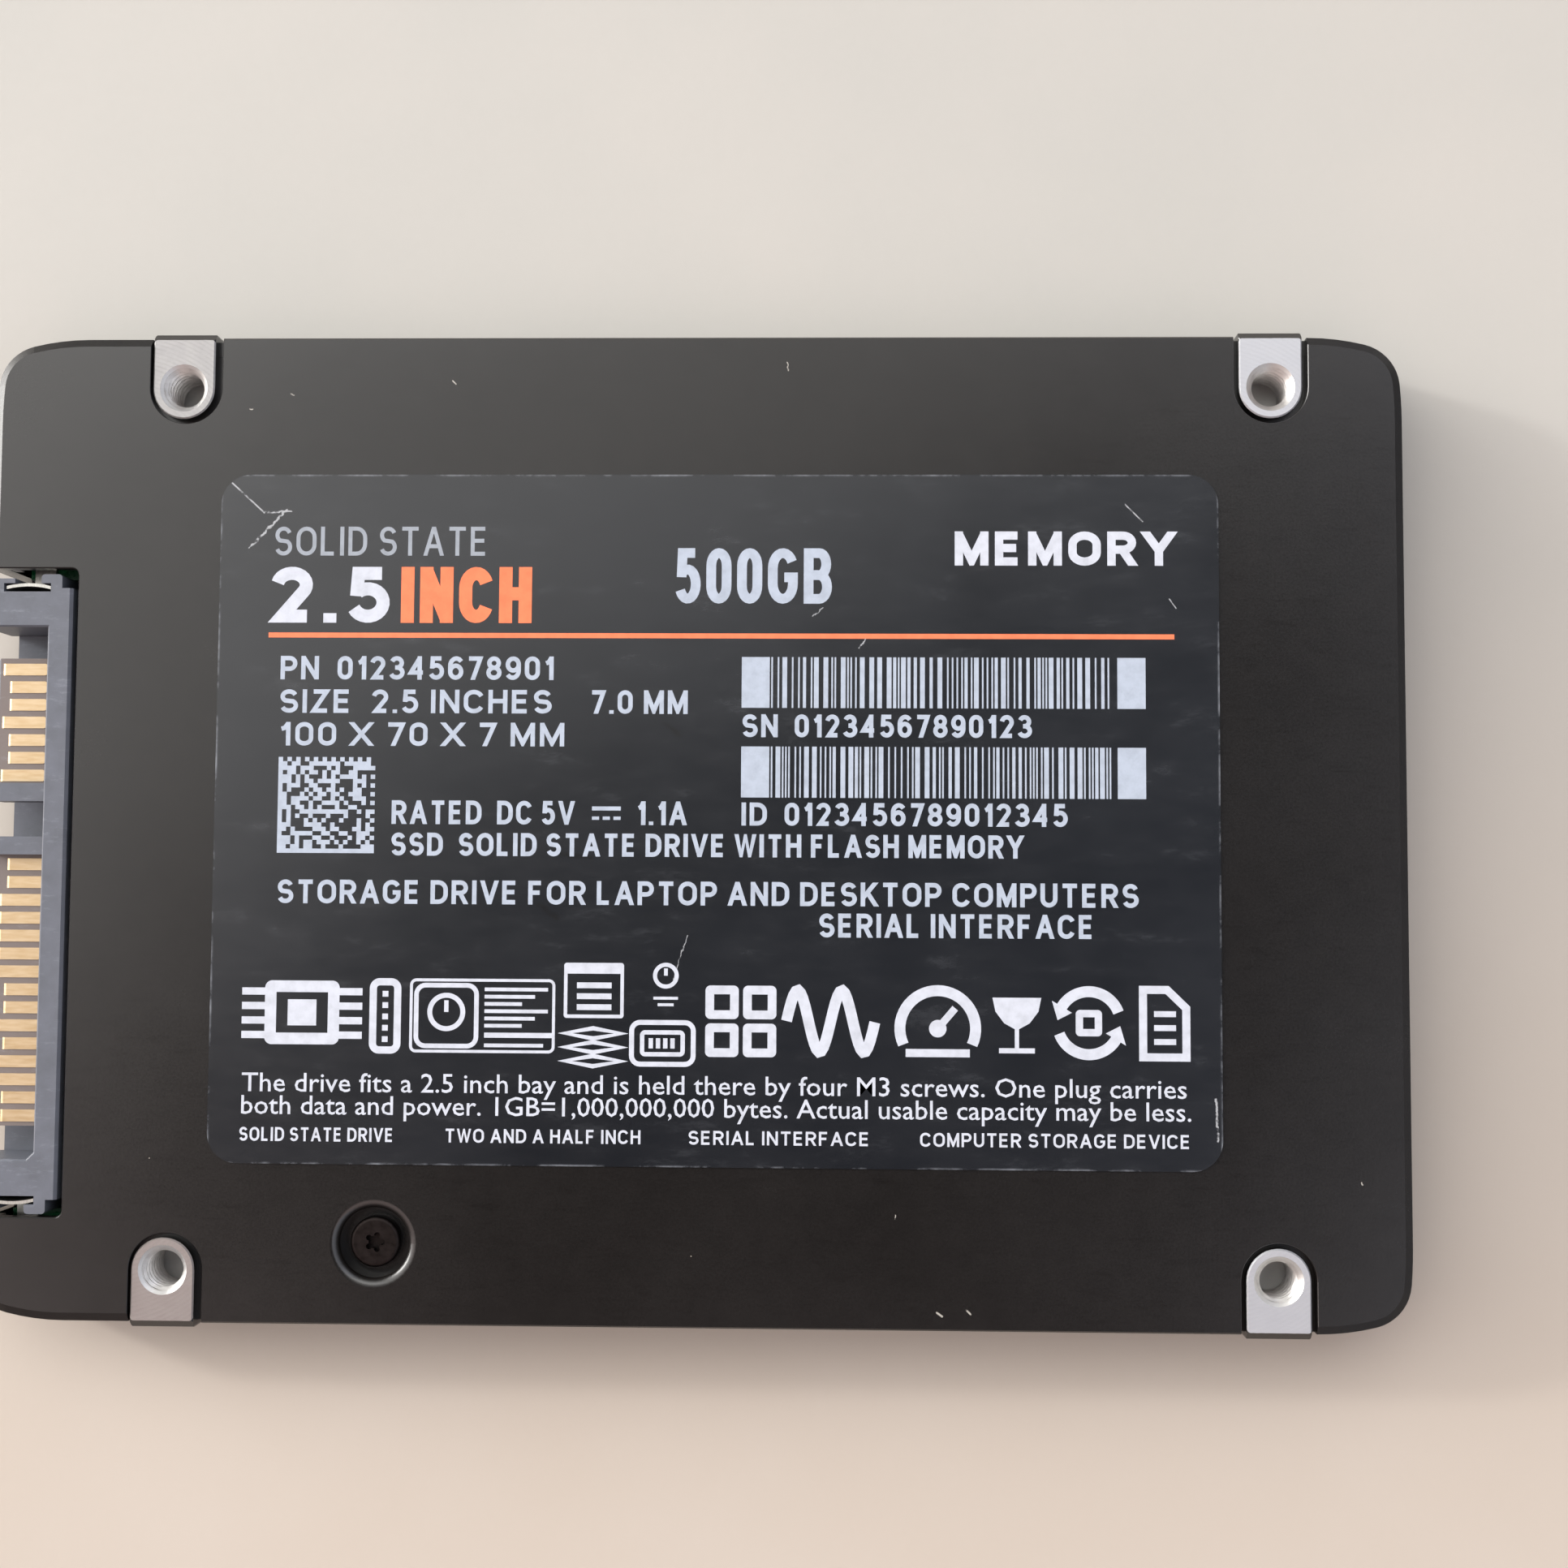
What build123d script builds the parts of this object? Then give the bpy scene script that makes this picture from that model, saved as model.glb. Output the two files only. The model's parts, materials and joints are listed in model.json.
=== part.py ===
from build123d import *
import math
import os

# A 2.5-inch solid state drive, lying with its label upwards. Millimetres, +Z up.
# The origin is the middle of the drive's length and width, on its plain face.
# +X runs from the connector end to the far end.

# ---------------------------------------------------------------- driving sizes

drive_length = 100.0
drive_width = 69.85
drive_height = 6.8
label_thickness = 0.1
cover_top = drive_height - label_thickness
cover_thickness = 0.9
cover_under = cover_top - cover_thickness

wall = 1.2
floor_top = 0.8
case_end_setback = 0.4
pad_proud = 0.425
shell_x_min = -drive_length / 2 + case_end_setback
shell_x_max = drive_length / 2
shell_half_y = drive_width / 2 - pad_proud
shell_round = 0.7
seam_bevel_in = 0.15
seam_bevel_down = 0.5

cover_x_min = shell_x_min + 0.15
cover_x_max = shell_x_max - 0.25
cover_half_y = shell_half_y - 0.08
end_bevel_in = 0.6
end_bevel_down = 0.4
side_edge_break = 0.12
rim_edge_break = 0.08
notch_edge_break = 0.04
lip_clearance = 0.1
lip_thickness = 0.6
lip_height = 0.8

# Each corner is three arcs, tangent to each other, given as (radius, degrees turned).
corner_arcs = [(16.5, 14.0), (3.2, 71.0), (30.0, 5.0)]

# Mounting holes of the 2.5-inch form factor, M3.
hole_x_near = -drive_length / 2 + 14.0
hole_x_far = hole_x_near + 76.6
hole_y = 61.72 / 2
hole_radius = 1.5
hole_floor_z = 2.6
countersink_radius = 1.7
boss_top = 6.6
boss_radius = 2.2
boss_gap = 0.38
near_notch_shift = 0.22
collar_radius = boss_radius + 0.65
collar_low = 4.7
collar_top = cover_under - 0.05
collar_clearance = 0.1
boss_face_setback = 0.62
boss_side_draft = 0.125
boss_corner = 0.3
boss_edge_break = 0.1
side_hole_z = drive_height - 3.0
side_hole_depth = 2.3
side_countersink = 0.2

# Case screws: the first is in the open, the other two are under the label.
screw_places = [(-21.4, -28.9), (-24.0, 20.0), (31.0, -1.0)]
screw_head_radius = 1.75
screw_head_height = 0.9
screw_shank_radius = 1.0
screw_seat_z = 5.2
screw_tip_z = 1.7
socket_radius = 0.44
socket_lobe_radius = 0.2
socket_lobe_reach = 0.5
socket_depth = 0.55
recess_radius = 2.4
recess_rim_round = 0.6
recess_cup_radius = 3.3
screw_post_radius = 2.6
screw_post_top = 4.7

label_center = (1.9, 0.55)
label_size = (69.9, 48.1)
label_corner = 2.1

# Serial interface plug: 7 signal and 15 power contacts in one housing.
plug_center_y = -4.8
pitch = 1.27
signal_count = 7
power_count = 15
first_signal_y = plug_center_y + 15.875
first_power_y = first_signal_y - 11 * pitch
tongue_top = 3.9
tongue_thickness = 1.23
tongue_front = -49.85
signal_tongue_y = (first_signal_y - 9.5, first_signal_y + 0.8)
power_tongue_y = (first_power_y - 18.5, first_power_y + 1.95)
key_width = 1.27
key_top = 5.05
plug_front = -drive_length / 2
plug_back = -43.6
plug_block_front = -45.3
plug_top = 6.5
plug_bottom = 0.85
plug_shelf_top = 1.45
plug_shelf_front = -49.45
plug_half = 21.37
mouth_half = 18.62
mouth_corner = 0.5
plug_edge_break = 0.12
lug_reach = 22.35
rear_lug_x = (-45.83, -44.35)
front_lug_x = (plug_front, -47.71)
slot_x = (-48.5, -45.15)
slot_floor_z = 1.5
clip_x = (-48.4, -45.25)
clip_z = (1.6, 6.3)
clip_bow = 0.2
clip_thickness = 0.22
clip_foot_x = (-47.5, -46.0)
clip_foot_height = 0.25
contact_width = 0.84
contact_proud = 0.05
contact_depth = 0.3
signal_tips = (-49.75, -49.25)
power_tips = (-49.55, -49.05)
contact_shoulder_x = -46.2
contact_neck_width = 0.5
tail_end_x = -41.7

cutout_x = -43.13
cutout_half = 22.65
cutout_center_y = -4.7
cutout_corner = 0.5
floor_notch_x = -48.9

# Circuit board.
board_x_min = -43.3
board_x_max = -11.5
board_half_y = 28.0
board_under = 2.3
board_top = 3.3
board_rests = [(-40.6, 26.0), (-13.6, 26.0), (-13.6, -26.0), (-29.0, -26.4)]
board_rest_radius = 1.2
ear_front_x = -47.9
ear_back_x = -40.5
ear_gap = 0.1
upper_ear_end = 24.0
lower_ear_end = -31.0

# What is on the board: places on it, and sizes as length, width, height.
controller_place = (-33.0, 6.0)
controller_size = (12.6, 12.6, 1.0)
controller_pad_side = 11.0
memory_place = (-33.5, -9.4)
memory_size = (10.0, 14.0, 0.9)
flash_place = (-19.0, -2.0)
flash_size = (14.0, 18.0, 1.2)
flash_pad_size = (12.0, 16.0)
power_chip_place = (-36.5, -21.0)
power_chip_size = (5.0, 5.0, 0.8)
inductor_places = [(-31.4, -19.4), (-31.4, -23.2), (-26.8, -15.0), (-26.8, -18.8)]
inductor_size = (3.0, 3.0, 1.5)
bulk_capacitor_places = [(-36.0, 22.4), (-36.0, 16.8), (-17.0, 13.4)]
bulk_capacitor_size = (7.3, 4.3, 1.9)
crystal_place = (-29.0, 16.6)
crystal_size = (2.5, 2.0, 0.6)
fuse_place = (-39.6, -9.0)
fuse_size = (1.6, 3.2, 0.9)
diode_place = (-37.6, -26.0)
diode_size = (3.6, 2.6, 1.1)
sensor_place = (-14.0, 22.6)
sensor_size = (2.0, 2.0, 0.7)

# Rows of small parts: first place, step to the next, how many, size.
ceramic_rows = [
    ((-40.6, first_signal_y), (0, -pitch), 7, (0.5, 0.5, 0.45)),
    ((-37.4, 13.6), (1.25, 0), 8, (0.5, 1.0, 0.5)),
    ((-25.2, 8.4), (1.6, 0), 6, (0.8, 1.4, 0.8)),
    ((-24.8, -12.6), (2.2, 0), 5, (1.6, 0.8, 0.8)),
]
resistor_rows = [
    ((-40.0, -17.4), (0, -1.1), 6, (1.0, 0.5, 0.35)),
    ((-19.6, 18.2), (1.0, 0), 8, (0.5, 1.0, 0.35)),
]
small_edge_break = 0.05

# ---------------------------------------------------------------- shared helpers


def block(x_low, x_high, y_low, y_high, z_low, z_high):
    """A box given by its two limits along each axis."""
    center = ((x_low + x_high) / 2, (y_low + y_high) / 2, (z_low + z_high) / 2)
    return Pos(*center) * Box(x_high - x_low, y_high - y_low, z_high - z_low)


def rod(x, y, z_low, z_high, radius):
    """An upright cylinder."""
    return Pos(x, y, (z_low + z_high) / 2) * Cylinder(radius, z_high - z_low)


def corner_edges():
    """The far, +Y corner of the case: starts at (0, 0) heading +X, and turns to head -Y."""
    edges = []
    start = Vector(0, 0)
    heading = 0.0
    for radius, turn in corner_arcs:
        tangent = (math.cos(math.radians(heading)), math.sin(math.radians(heading)))
        arc = JernArc(start, tangent, radius, -turn)
        edges.append(arc)
        start = arc @ 1
        heading -= turn
    return edges, start


def case_outline(x_min, x_max, half_y):
    """The case seen from above, as a face at z = 0."""
    quarter, reach = corner_edges()
    edges = []
    for edge in quarter:
        far = Pos(x_max - reach.X, half_y) * edge
        near = mirror(Pos(-x_min - reach.X, half_y) * edge, Plane.YZ)
        edges += [far, near, mirror(far, Plane.XZ), mirror(near, Plane.XZ)]
    side_low = x_min + reach.X
    side_high = x_max - reach.X
    end_half = half_y + reach.Y
    edges.append(Line((side_low, half_y), (side_high, half_y)))
    edges.append(Line((side_low, -half_y), (side_high, -half_y)))
    edges.append(Line((x_min, -end_half), (x_min, end_half)))
    edges.append(Line((x_max, -end_half), (x_max, end_half)))
    return make_face(edges)


def prism(face, z_low, z_high):
    """A flat face drawn at z = 0, raised into a solid between two heights."""
    return extrude(Pos(0, 0, z_low) * face, z_high - z_low, dir=(0, 0, 1))


def flare(face, z_low, z_high):
    """As prism, but widening upwards at 45 degrees, to break the edge of an opening."""
    return extrude(Pos(0, 0, z_low) * face, z_high - z_low, dir=(0, 0, 1), taper=-45)


def hole_places():
    """The four mounting holes, each with the side it is on."""
    places = []
    for x in (hole_x_near, hole_x_far):
        for side in (-1, 1):
            places.append((x, side))
    return places


def tongue_shape(x, side, radius, outer_y):
    """The outline of a mounting boss: round towards the middle, straight out to the side."""
    middle = (hole_y + outer_y) / 2
    straight = Pos(x, side * middle) * Rectangle(2 * radius, outer_y - hole_y)
    return straight + Pos(x, side * hole_y) * Circle(radius)


# ---------------------------------------------------------------- case


def boss_bevel(x, side):
    """What is cut from a boss's outer top edge: a bevel, then a slight lean down to the pad."""
    outer_y = drive_width / 2
    face_y = outer_y - boss_face_setback
    bevel = boss_face_setback - boss_side_draft
    points = [
        (side * face_y, boss_top),
        (side * (outer_y - boss_side_draft), boss_top - bevel),
        (side * outer_y, boss_top - bevel - 0.6),
        (side * (outer_y + 1), boss_top - bevel - 0.6),
        (side * (outer_y + 1), boss_top + 1),
        (side * face_y, boss_top + 1),
    ]
    section = Plane.YZ * make_face(Polyline(*points, close=True))
    return Pos(x, 0, 0) * extrude(section, 2 * boss_radius, both=True)


def mounting_boss(x, side):
    """One boss with its bare top face, painted bevel and side pad, and a collar under the cover."""
    outer_y = drive_width / 2
    column = prism(tongue_shape(x, side, boss_radius, outer_y), floor_top - 0.2, boss_top)
    uprights = column.edges().filter_by(Axis.Z).sort_by(Axis.Y)
    column = fillet(uprights[-2:] if side > 0 else uprights[:2], boss_corner)
    column = chamfer(column.faces().sort_by(Axis.Z)[-1].edges(), boss_edge_break)
    column -= boss_bevel(x, side)
    collar = tongue_shape(x, side, collar_radius, shell_half_y - wall / 2)
    return column + prism(collar, collar_low, collar_top)


def mounting_holes():
    """All eight M3 holes, as the solids to be cut away."""
    holes = None
    for x, side in hole_places():
        upright = rod(x, side * hole_y, hole_floor_z, boss_top + 1, hole_radius)
        sink = Pos(x, side * hole_y, boss_top - 0.1) * Cone(hole_radius, countersink_radius, 0.2)
        level = Rot(90, 0, 0) * Cylinder(hole_radius, 2 * side_hole_depth)
        level = Pos(x, side * drive_width / 2, side_hole_z) * level
        cone = Rot(-90 * side, 0, 0) * Cone(hole_radius, hole_radius + side_countersink, side_countersink)
        cone = Pos(x, side * (drive_width / 2 - side_countersink / 2), side_hole_z) * cone
        group = upright + sink + level + cone
        holes = group if holes is None else holes + group
    return holes


def base_shell():
    """The tray: floor, walls, mounting bosses, screw posts and board rests in one casting."""
    tray = prism(case_outline(shell_x_min, shell_x_max, shell_half_y), 0, cover_under)
    tray = fillet(tray.faces().sort_by(Axis.Z)[0].edges(), shell_round)
    rim = tray.faces().sort_by(Axis.Z)[-1]
    tray = chamfer(rim.edges(), seam_bevel_in, seam_bevel_down, reference=rim)
    hollow = case_outline(shell_x_min + wall, shell_x_max - wall, shell_half_y - wall)
    tray -= prism(hollow, floor_top, cover_under)
    for x, side in hole_places():
        tray += mounting_boss(x, side)
    for x, y in screw_places:
        tray += rod(x, y, floor_top, screw_post_top, screw_post_radius)
    for x, y in board_rests:
        tray += rod(x, y, floor_top, board_under, board_rest_radius)
    tray -= mounting_holes()
    for x, y in screw_places:
        tray -= rod(x, y, screw_tip_z - 0.2, screw_post_top, screw_shank_radius + 0.02)
    low = cutout_center_y - cutout_half
    high = cutout_center_y + cutout_half
    tray -= block(shell_x_min - 1, shell_x_min + wall, low, high, floor_top, cover_under)
    tray -= block(shell_x_min - 1, floor_notch_x, low, high, -1, floor_top)
    return tray


def beveled_plate(bevel_in, bevel_down):
    """The cover's plate with one bevel all round its top edge."""
    plate = prism(case_outline(cover_x_min, cover_x_max, cover_half_y), cover_under, cover_top)
    top = plate.faces().sort_by(Axis.Z)[-1]
    return chamfer(top.edges(), bevel_in, bevel_down, reference=top)


def cover_plate():
    """The plate that carries the label, with its lip, screw cups and connector cut-out."""
    wide = beveled_plate(end_bevel_in, end_bevel_down)
    narrow = beveled_plate(side_edge_break, side_edge_break)
    reach = drive_length
    middle = block(hole_x_near, hole_x_far, -reach, reach, 0, reach)
    cover = (wide - middle) + (narrow & middle)
    outer = wall + lip_clearance
    inner = outer + lip_thickness
    lip = case_outline(shell_x_min + outer, shell_x_max - outer, shell_half_y - outer)
    lip -= case_outline(shell_x_min + inner, shell_x_max - inner, shell_half_y - inner)
    cover += prism(lip, cover_under - lip_height, cover_under)
    for x, y in screw_places:
        cover += rod(x, y, screw_post_top, cover_under, recess_cup_radius)
    for x, y in board_rests:
        cover += rod(x, y, board_top, cover_under, board_rest_radius)
    for x, side in hole_places():
        collar_room = tongue_shape(x, side, collar_radius + collar_clearance, drive_width / 2 + 1)
        cover -= prism(collar_room, board_top, cover_under)
        notch_x = x + near_notch_shift if x < 0 else x
        notch = tongue_shape(notch_x, side, boss_radius + boss_gap, drive_width / 2 + 1)
        cover -= prism(notch, board_top, drive_height)
        cover -= flare(notch, cover_top - notch_edge_break, cover_top)
    for x, y in screw_places:
        cover -= rod(x, y, screw_seat_z, drive_height, recess_radius)
        cover -= rod(x, y, board_top, drive_height, screw_shank_radius + 0.1)
    circles = cover.edges().filter_by(GeomType.CIRCLE)
    rims = [edge for edge in circles if abs(edge.radius - recess_radius) < 0.001]
    rims = [edge for edge in rims if edge.center().Z > cover_top - 0.001]
    cover = fillet(rims, recess_rim_round)
    depth = 12.0
    opening = RectangleRounded(depth, 2 * cutout_half, cutout_corner)
    opening = Pos(cutout_x - depth / 2, cutout_center_y) * opening
    cover -= prism(opening, board_top, drive_height)
    cover -= flare(opening, cover_top - rim_edge_break, cover_top)
    return cover


def case_screws():
    """Three short screws with five-lobed sockets."""
    socket = Circle(socket_radius)
    for lobe in range(5):
        socket += Rot(0, 0, 72 * lobe) * Pos(socket_lobe_reach, 0) * Circle(socket_lobe_radius)
    head_top = screw_seat_z + screw_head_height
    screws = []
    for x, y in screw_places:
        head = rod(x, y, screw_seat_z, head_top, screw_head_radius)
        head = fillet(head.faces().sort_by(Axis.Z)[-1].edges(), 0.3)
        screw = head + rod(x, y, screw_tip_z, screw_seat_z, screw_shank_radius)
        screw -= Pos(x, y) * prism(socket, head_top - socket_depth, head_top)
        screws.append(screw)
    return screws


def label():
    """The printed label, a thin sheet with rounded corners on the cover."""
    sheet = Pos(*label_center) * RectangleRounded(*label_size, label_corner)
    return prism(sheet, cover_top, drive_height)


# ---------------------------------------------------------------- plug


def contact_profile(tip_x):
    """A contact from the side: ramped tip, flat stretch, step down to the board."""
    top = tongue_top + contact_proud
    under = top - contact_depth
    foot_top = board_top + contact_depth
    points = [
        (tip_x, under),
        (tip_x, under + 0.06),
        (tip_x + 0.2, top - 0.08),
        (tip_x + 0.45, top),
        (plug_back + 0.25, top),
        (plug_back + 0.65, foot_top),
        (tail_end_x, foot_top),
        (tail_end_x, board_top),
        (plug_back + 0.5, board_top),
        (plug_back + 0.1, under),
    ]
    return make_face(Polyline(*points, close=True))


def contact_plan(tip_x, y, rounded):
    """A contact from above: a wide pad with a narrower tail."""
    middle = (tip_x + contact_shoulder_x) / 2
    pad_length = contact_shoulder_x - tip_x
    if rounded:
        pad = RectangleRounded(pad_length, contact_width, 0.27)
        front = Pos(tip_x + pad_length / 4, y) * Rectangle(pad_length / 2, contact_width)
        pad = Pos(middle, y) * pad + front
        tail_width = contact_neck_width
    else:
        pad = Pos(middle, y) * Rectangle(pad_length, contact_width)
        tail_width = contact_width
    tail_length = tail_end_x - middle
    return pad + Pos((middle + tail_end_x) / 2, y) * Rectangle(tail_length, tail_width)


def contact(y, tip_x, rounded):
    """One contact: its side profile, narrowed to its plan."""
    profile = Plane.XZ * contact_profile(tip_x)
    bar = Pos(0, y, 0) * extrude(profile, contact_width, both=True)
    return bar & prism(contact_plan(tip_x, y, rounded), 0, drive_height)


def signal_contacts():
    """S1 to S7. The ground contacts, 1, 4 and 7, reach further forward and mate first."""
    pieces = []
    for index in range(signal_count):
        tip = signal_tips[0] if index in (0, 3, 6) else signal_tips[1]
        pieces.append(contact(first_signal_y - index * pitch, tip, True))
    return pieces


def power_contacts():
    """P1 to P15. Grounds and pre-charge contacts reach further forward and mate first."""
    early = (2, 3, 4, 5, 6, 9, 11, 12)
    pieces = []
    for index in range(power_count):
        tip = power_tips[0] if index in early else power_tips[1]
        pieces.append(contact(first_power_y - index * pitch, tip, False))
    return pieces


def plug_tongue(y_low, y_high, key_low, key_high):
    """A blade that carries contacts, with its upright key and bevelled front."""
    under = tongue_top - tongue_thickness
    blade = block(tongue_front, plug_block_front, y_low, y_high, under, tongue_top)
    key = block(tongue_front, plug_block_front, key_low, key_high, under, key_top)
    front = (blade + key).faces().sort_by(Axis.X)[0]
    return chamfer(front.edges(), 0.18)


def plug_end_lugs(side):
    """The two lugs at one end of the housing that trap the metal hold-down."""
    inner = plug_center_y + side * (plug_half - 0.2)
    outer = plug_center_y + side * lug_reach
    front_outer = outer - side * 0.3
    rear = block(*rear_lug_x, min(inner, outer), max(inner, outer), plug_bottom, plug_top)
    corner_edges_z = rear.edges().filter_by(Axis.Z).sort_by(Axis.Y)
    rear = fillet(corner_edges_z[-2:] if side > 0 else corner_edges_z[:2], 0.25)
    low = min(inner, front_outer)
    high = max(inner, front_outer)
    return rear + block(*front_lug_x, low, high, plug_bottom, plug_top)


def hold_down_slot(side):
    """The slot behind the lugs that the hold-down stands in."""
    near = plug_center_y + side * (plug_half - 0.25)
    far = plug_center_y + side * (plug_half + 0.35)
    return block(*slot_x, min(near, far), max(near, far), slot_floor_z, drive_height)


def mouth_cut():
    """The space around the tongues, with one bevelled inner corner and a broken upper edge."""
    low = plug_center_y - mouth_half
    high = plug_center_y + mouth_half
    front = plug_front - 1
    points = [
        (front, low),
        (plug_block_front - mouth_corner, low),
        (plug_block_front, low + mouth_corner),
        (plug_block_front, high),
        (front, high),
    ]
    plan = make_face(Polyline(*points, close=True))
    return prism(plan, plug_shelf_top, drive_height) + flare(plan, plug_top - plug_edge_break, plug_top)


def connector_housing():
    """The moulded plug body. Its contacts are moulded in, so their shapes are cut from it."""
    low = plug_center_y - plug_half
    high = plug_center_y + plug_half
    body = block(plug_front, plug_back, low, high, plug_bottom, plug_top)
    rear_top = body.faces().sort_by(Axis.X)[-1].edges().sort_by(Axis.Z)[-1]
    body = chamfer(rear_top, 0.2)
    body -= mouth_cut()
    body -= block(plug_front - 1, plug_shelf_front, low + 2.6, high - 2.6, 0, plug_shelf_top)
    for side in (-1, 1):
        body += plug_end_lugs(side)
        body -= hold_down_slot(side)
    signal_low, signal_high = signal_tongue_y
    power_low, power_high = power_tongue_y
    body += plug_tongue(signal_low, signal_high, signal_low, signal_low + key_width)
    body += plug_tongue(power_low, power_high, power_high - key_width, power_high)
    for piece in signal_contacts() + power_contacts():
        body -= piece
    return body


def hold_down(side):
    """A bowed spring plate in its slot, with a foot that is soldered to the board."""
    y = plug_center_y + side * (plug_half - 0.05)
    front, back = clip_x
    middle = (front + back) / 2
    bow = ThreePointArc((front, 0), (middle, clip_bow * side), (back, 0))
    sheet = make_face(
        [
            bow,
            Line((back, 0), (back, clip_thickness * side)),
            Pos(0, clip_thickness * side) * bow,
            Line((front, 0), (front, clip_thickness * side)),
        ]
    )
    plate = Pos(0, y) * prism(sheet, *clip_z)
    inner = y + side * (clip_bow + clip_thickness / 2)
    outer = plug_center_y + side * (plug_half + 2.5)
    foot_top = board_top + clip_foot_height
    return plate + block(*clip_foot_x, min(inner, outer), max(inner, outer), board_top, foot_top)


def connector_clips():
    """One hold-down at each end of the plug."""
    return [hold_down(-1), hold_down(1)]


# ---------------------------------------------------------------- board


def circuit_board():
    """The board, with an ear beside each end of the plug and room for the screw posts."""
    plate = block(board_x_min, board_x_max, -board_half_y, board_half_y, board_under, board_top)
    upper = plug_center_y + lug_reach + ear_gap
    lower = plug_center_y - lug_reach - ear_gap
    plate += block(ear_front_x, board_x_min + 1, upper, upper_ear_end, board_under, board_top)
    plate += block(ear_front_x, ear_back_x, lower_ear_end, lower, board_under, board_top)
    for x, y in screw_places:
        plate -= rod(x, y, board_under, board_top, screw_post_radius + 0.4)
    return plate


def package(x, y, length, width, height, edge_break=0.1):
    """A component on the board's upper face, with its top edges softened."""
    body = Pos(x, y, board_top + height / 2) * Box(length, width, height)
    return chamfer(body.faces().sort_by(Axis.Z)[-1].edges(), edge_break)


def under_package(x, y, length, width, height, edge_break=0.1):
    """A component on the board's lower face."""
    body = Pos(x, y, board_under - height / 2) * Box(length, width, height)
    return chamfer(body.faces().sort_by(Axis.Z)[0].edges(), edge_break)


def package_rows(rows):
    """Small components in straight rows."""
    pieces = []
    for (x, y), (step_x, step_y), count, size in rows:
        for index in range(count):
            pieces.append(package(x + index * step_x, y + index * step_y, *size, small_edge_break))
    return pieces


def controller_chip():
    """The drive's processor."""
    return package(*controller_place, *controller_size)


def memory_chip():
    """Working memory beside the controller."""
    return package(*memory_place, *memory_size)


def flash_chips():
    """Storage memory, one package on each face of the board."""
    return [package(*flash_place, *flash_size), under_package(*flash_place, *flash_size)]


def power_chip():
    """The voltage regulator."""
    return package(*power_chip_place, *power_chip_size)


def power_inductors():
    """Four shielded chokes around the regulator."""
    return [package(*place, *inductor_size, 0.25) for place in inductor_places]


def bulk_capacitors():
    """Three moulded capacitors that hold charge after the supply fails."""
    return [package(*place, *bulk_capacitor_size, 0.2) for place in bulk_capacitor_places]


def ceramic_capacitors():
    """Decoupling capacitors in rows beside the chips and the plug."""
    return package_rows(ceramic_rows)


def chip_resistors():
    """Small resistors beside the regulator and along the far edge."""
    return package_rows(resistor_rows)


def crystal_oscillator():
    """The clock crystal in its metal can."""
    return package(*crystal_place, *crystal_size)


def input_fuse():
    """The fuse on the supply line."""
    return package(*fuse_place, *fuse_size)


def surge_diode():
    """The surge clamp on the supply line."""
    return package(*diode_place, *diode_size)


def temperature_sensor():
    """A small sensor at the board's far edge."""
    return package(*sensor_place, *sensor_size)


def pad_between(place, length, width, z_low, z_high):
    """A soft pad filling the space between two heights."""
    return Pos(*place, (z_low + z_high) / 2) * Box(length, width, z_high - z_low)


def controller_thermal_pad():
    """A soft pad that carries heat from the controller to the cover."""
    side = controller_pad_side
    return pad_between(controller_place, side, side, board_top + controller_size[2], cover_under)


def flash_thermal_pads():
    """Soft pads between the flash packages and the case, above and below."""
    above = pad_between(flash_place, *flash_pad_size, board_top + flash_size[2], cover_under)
    below = pad_between(flash_place, *flash_pad_size, floor_top, board_under - flash_size[2])
    return [above, below]


# ---------------------------------------------------------------- output

nodes = [
    base_shell,
    cover_plate,
    case_screws,
    label,
    connector_housing,
    signal_contacts,
    power_contacts,
    connector_clips,
    circuit_board,
    controller_chip,
    memory_chip,
    flash_chips,
    power_chip,
    power_inductors,
    bulk_capacitors,
    ceramic_capacitors,
    chip_resistors,
    crystal_oscillator,
    input_fuse,
    surge_diode,
    temperature_sensor,
    controller_thermal_pad,
    flash_thermal_pads,
]

os.makedirs("parts", exist_ok=True)
for make in nodes:
    shape = make()
    if isinstance(shape, list):
        shape = Compound(children=shape)
    export_step(shape, "parts/" + make.__name__ + ".step")
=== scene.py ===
import json
import math
import random

import bmesh
import bpy
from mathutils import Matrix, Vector
from mathutils.geometry import delaunay_2d_cdt


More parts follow.
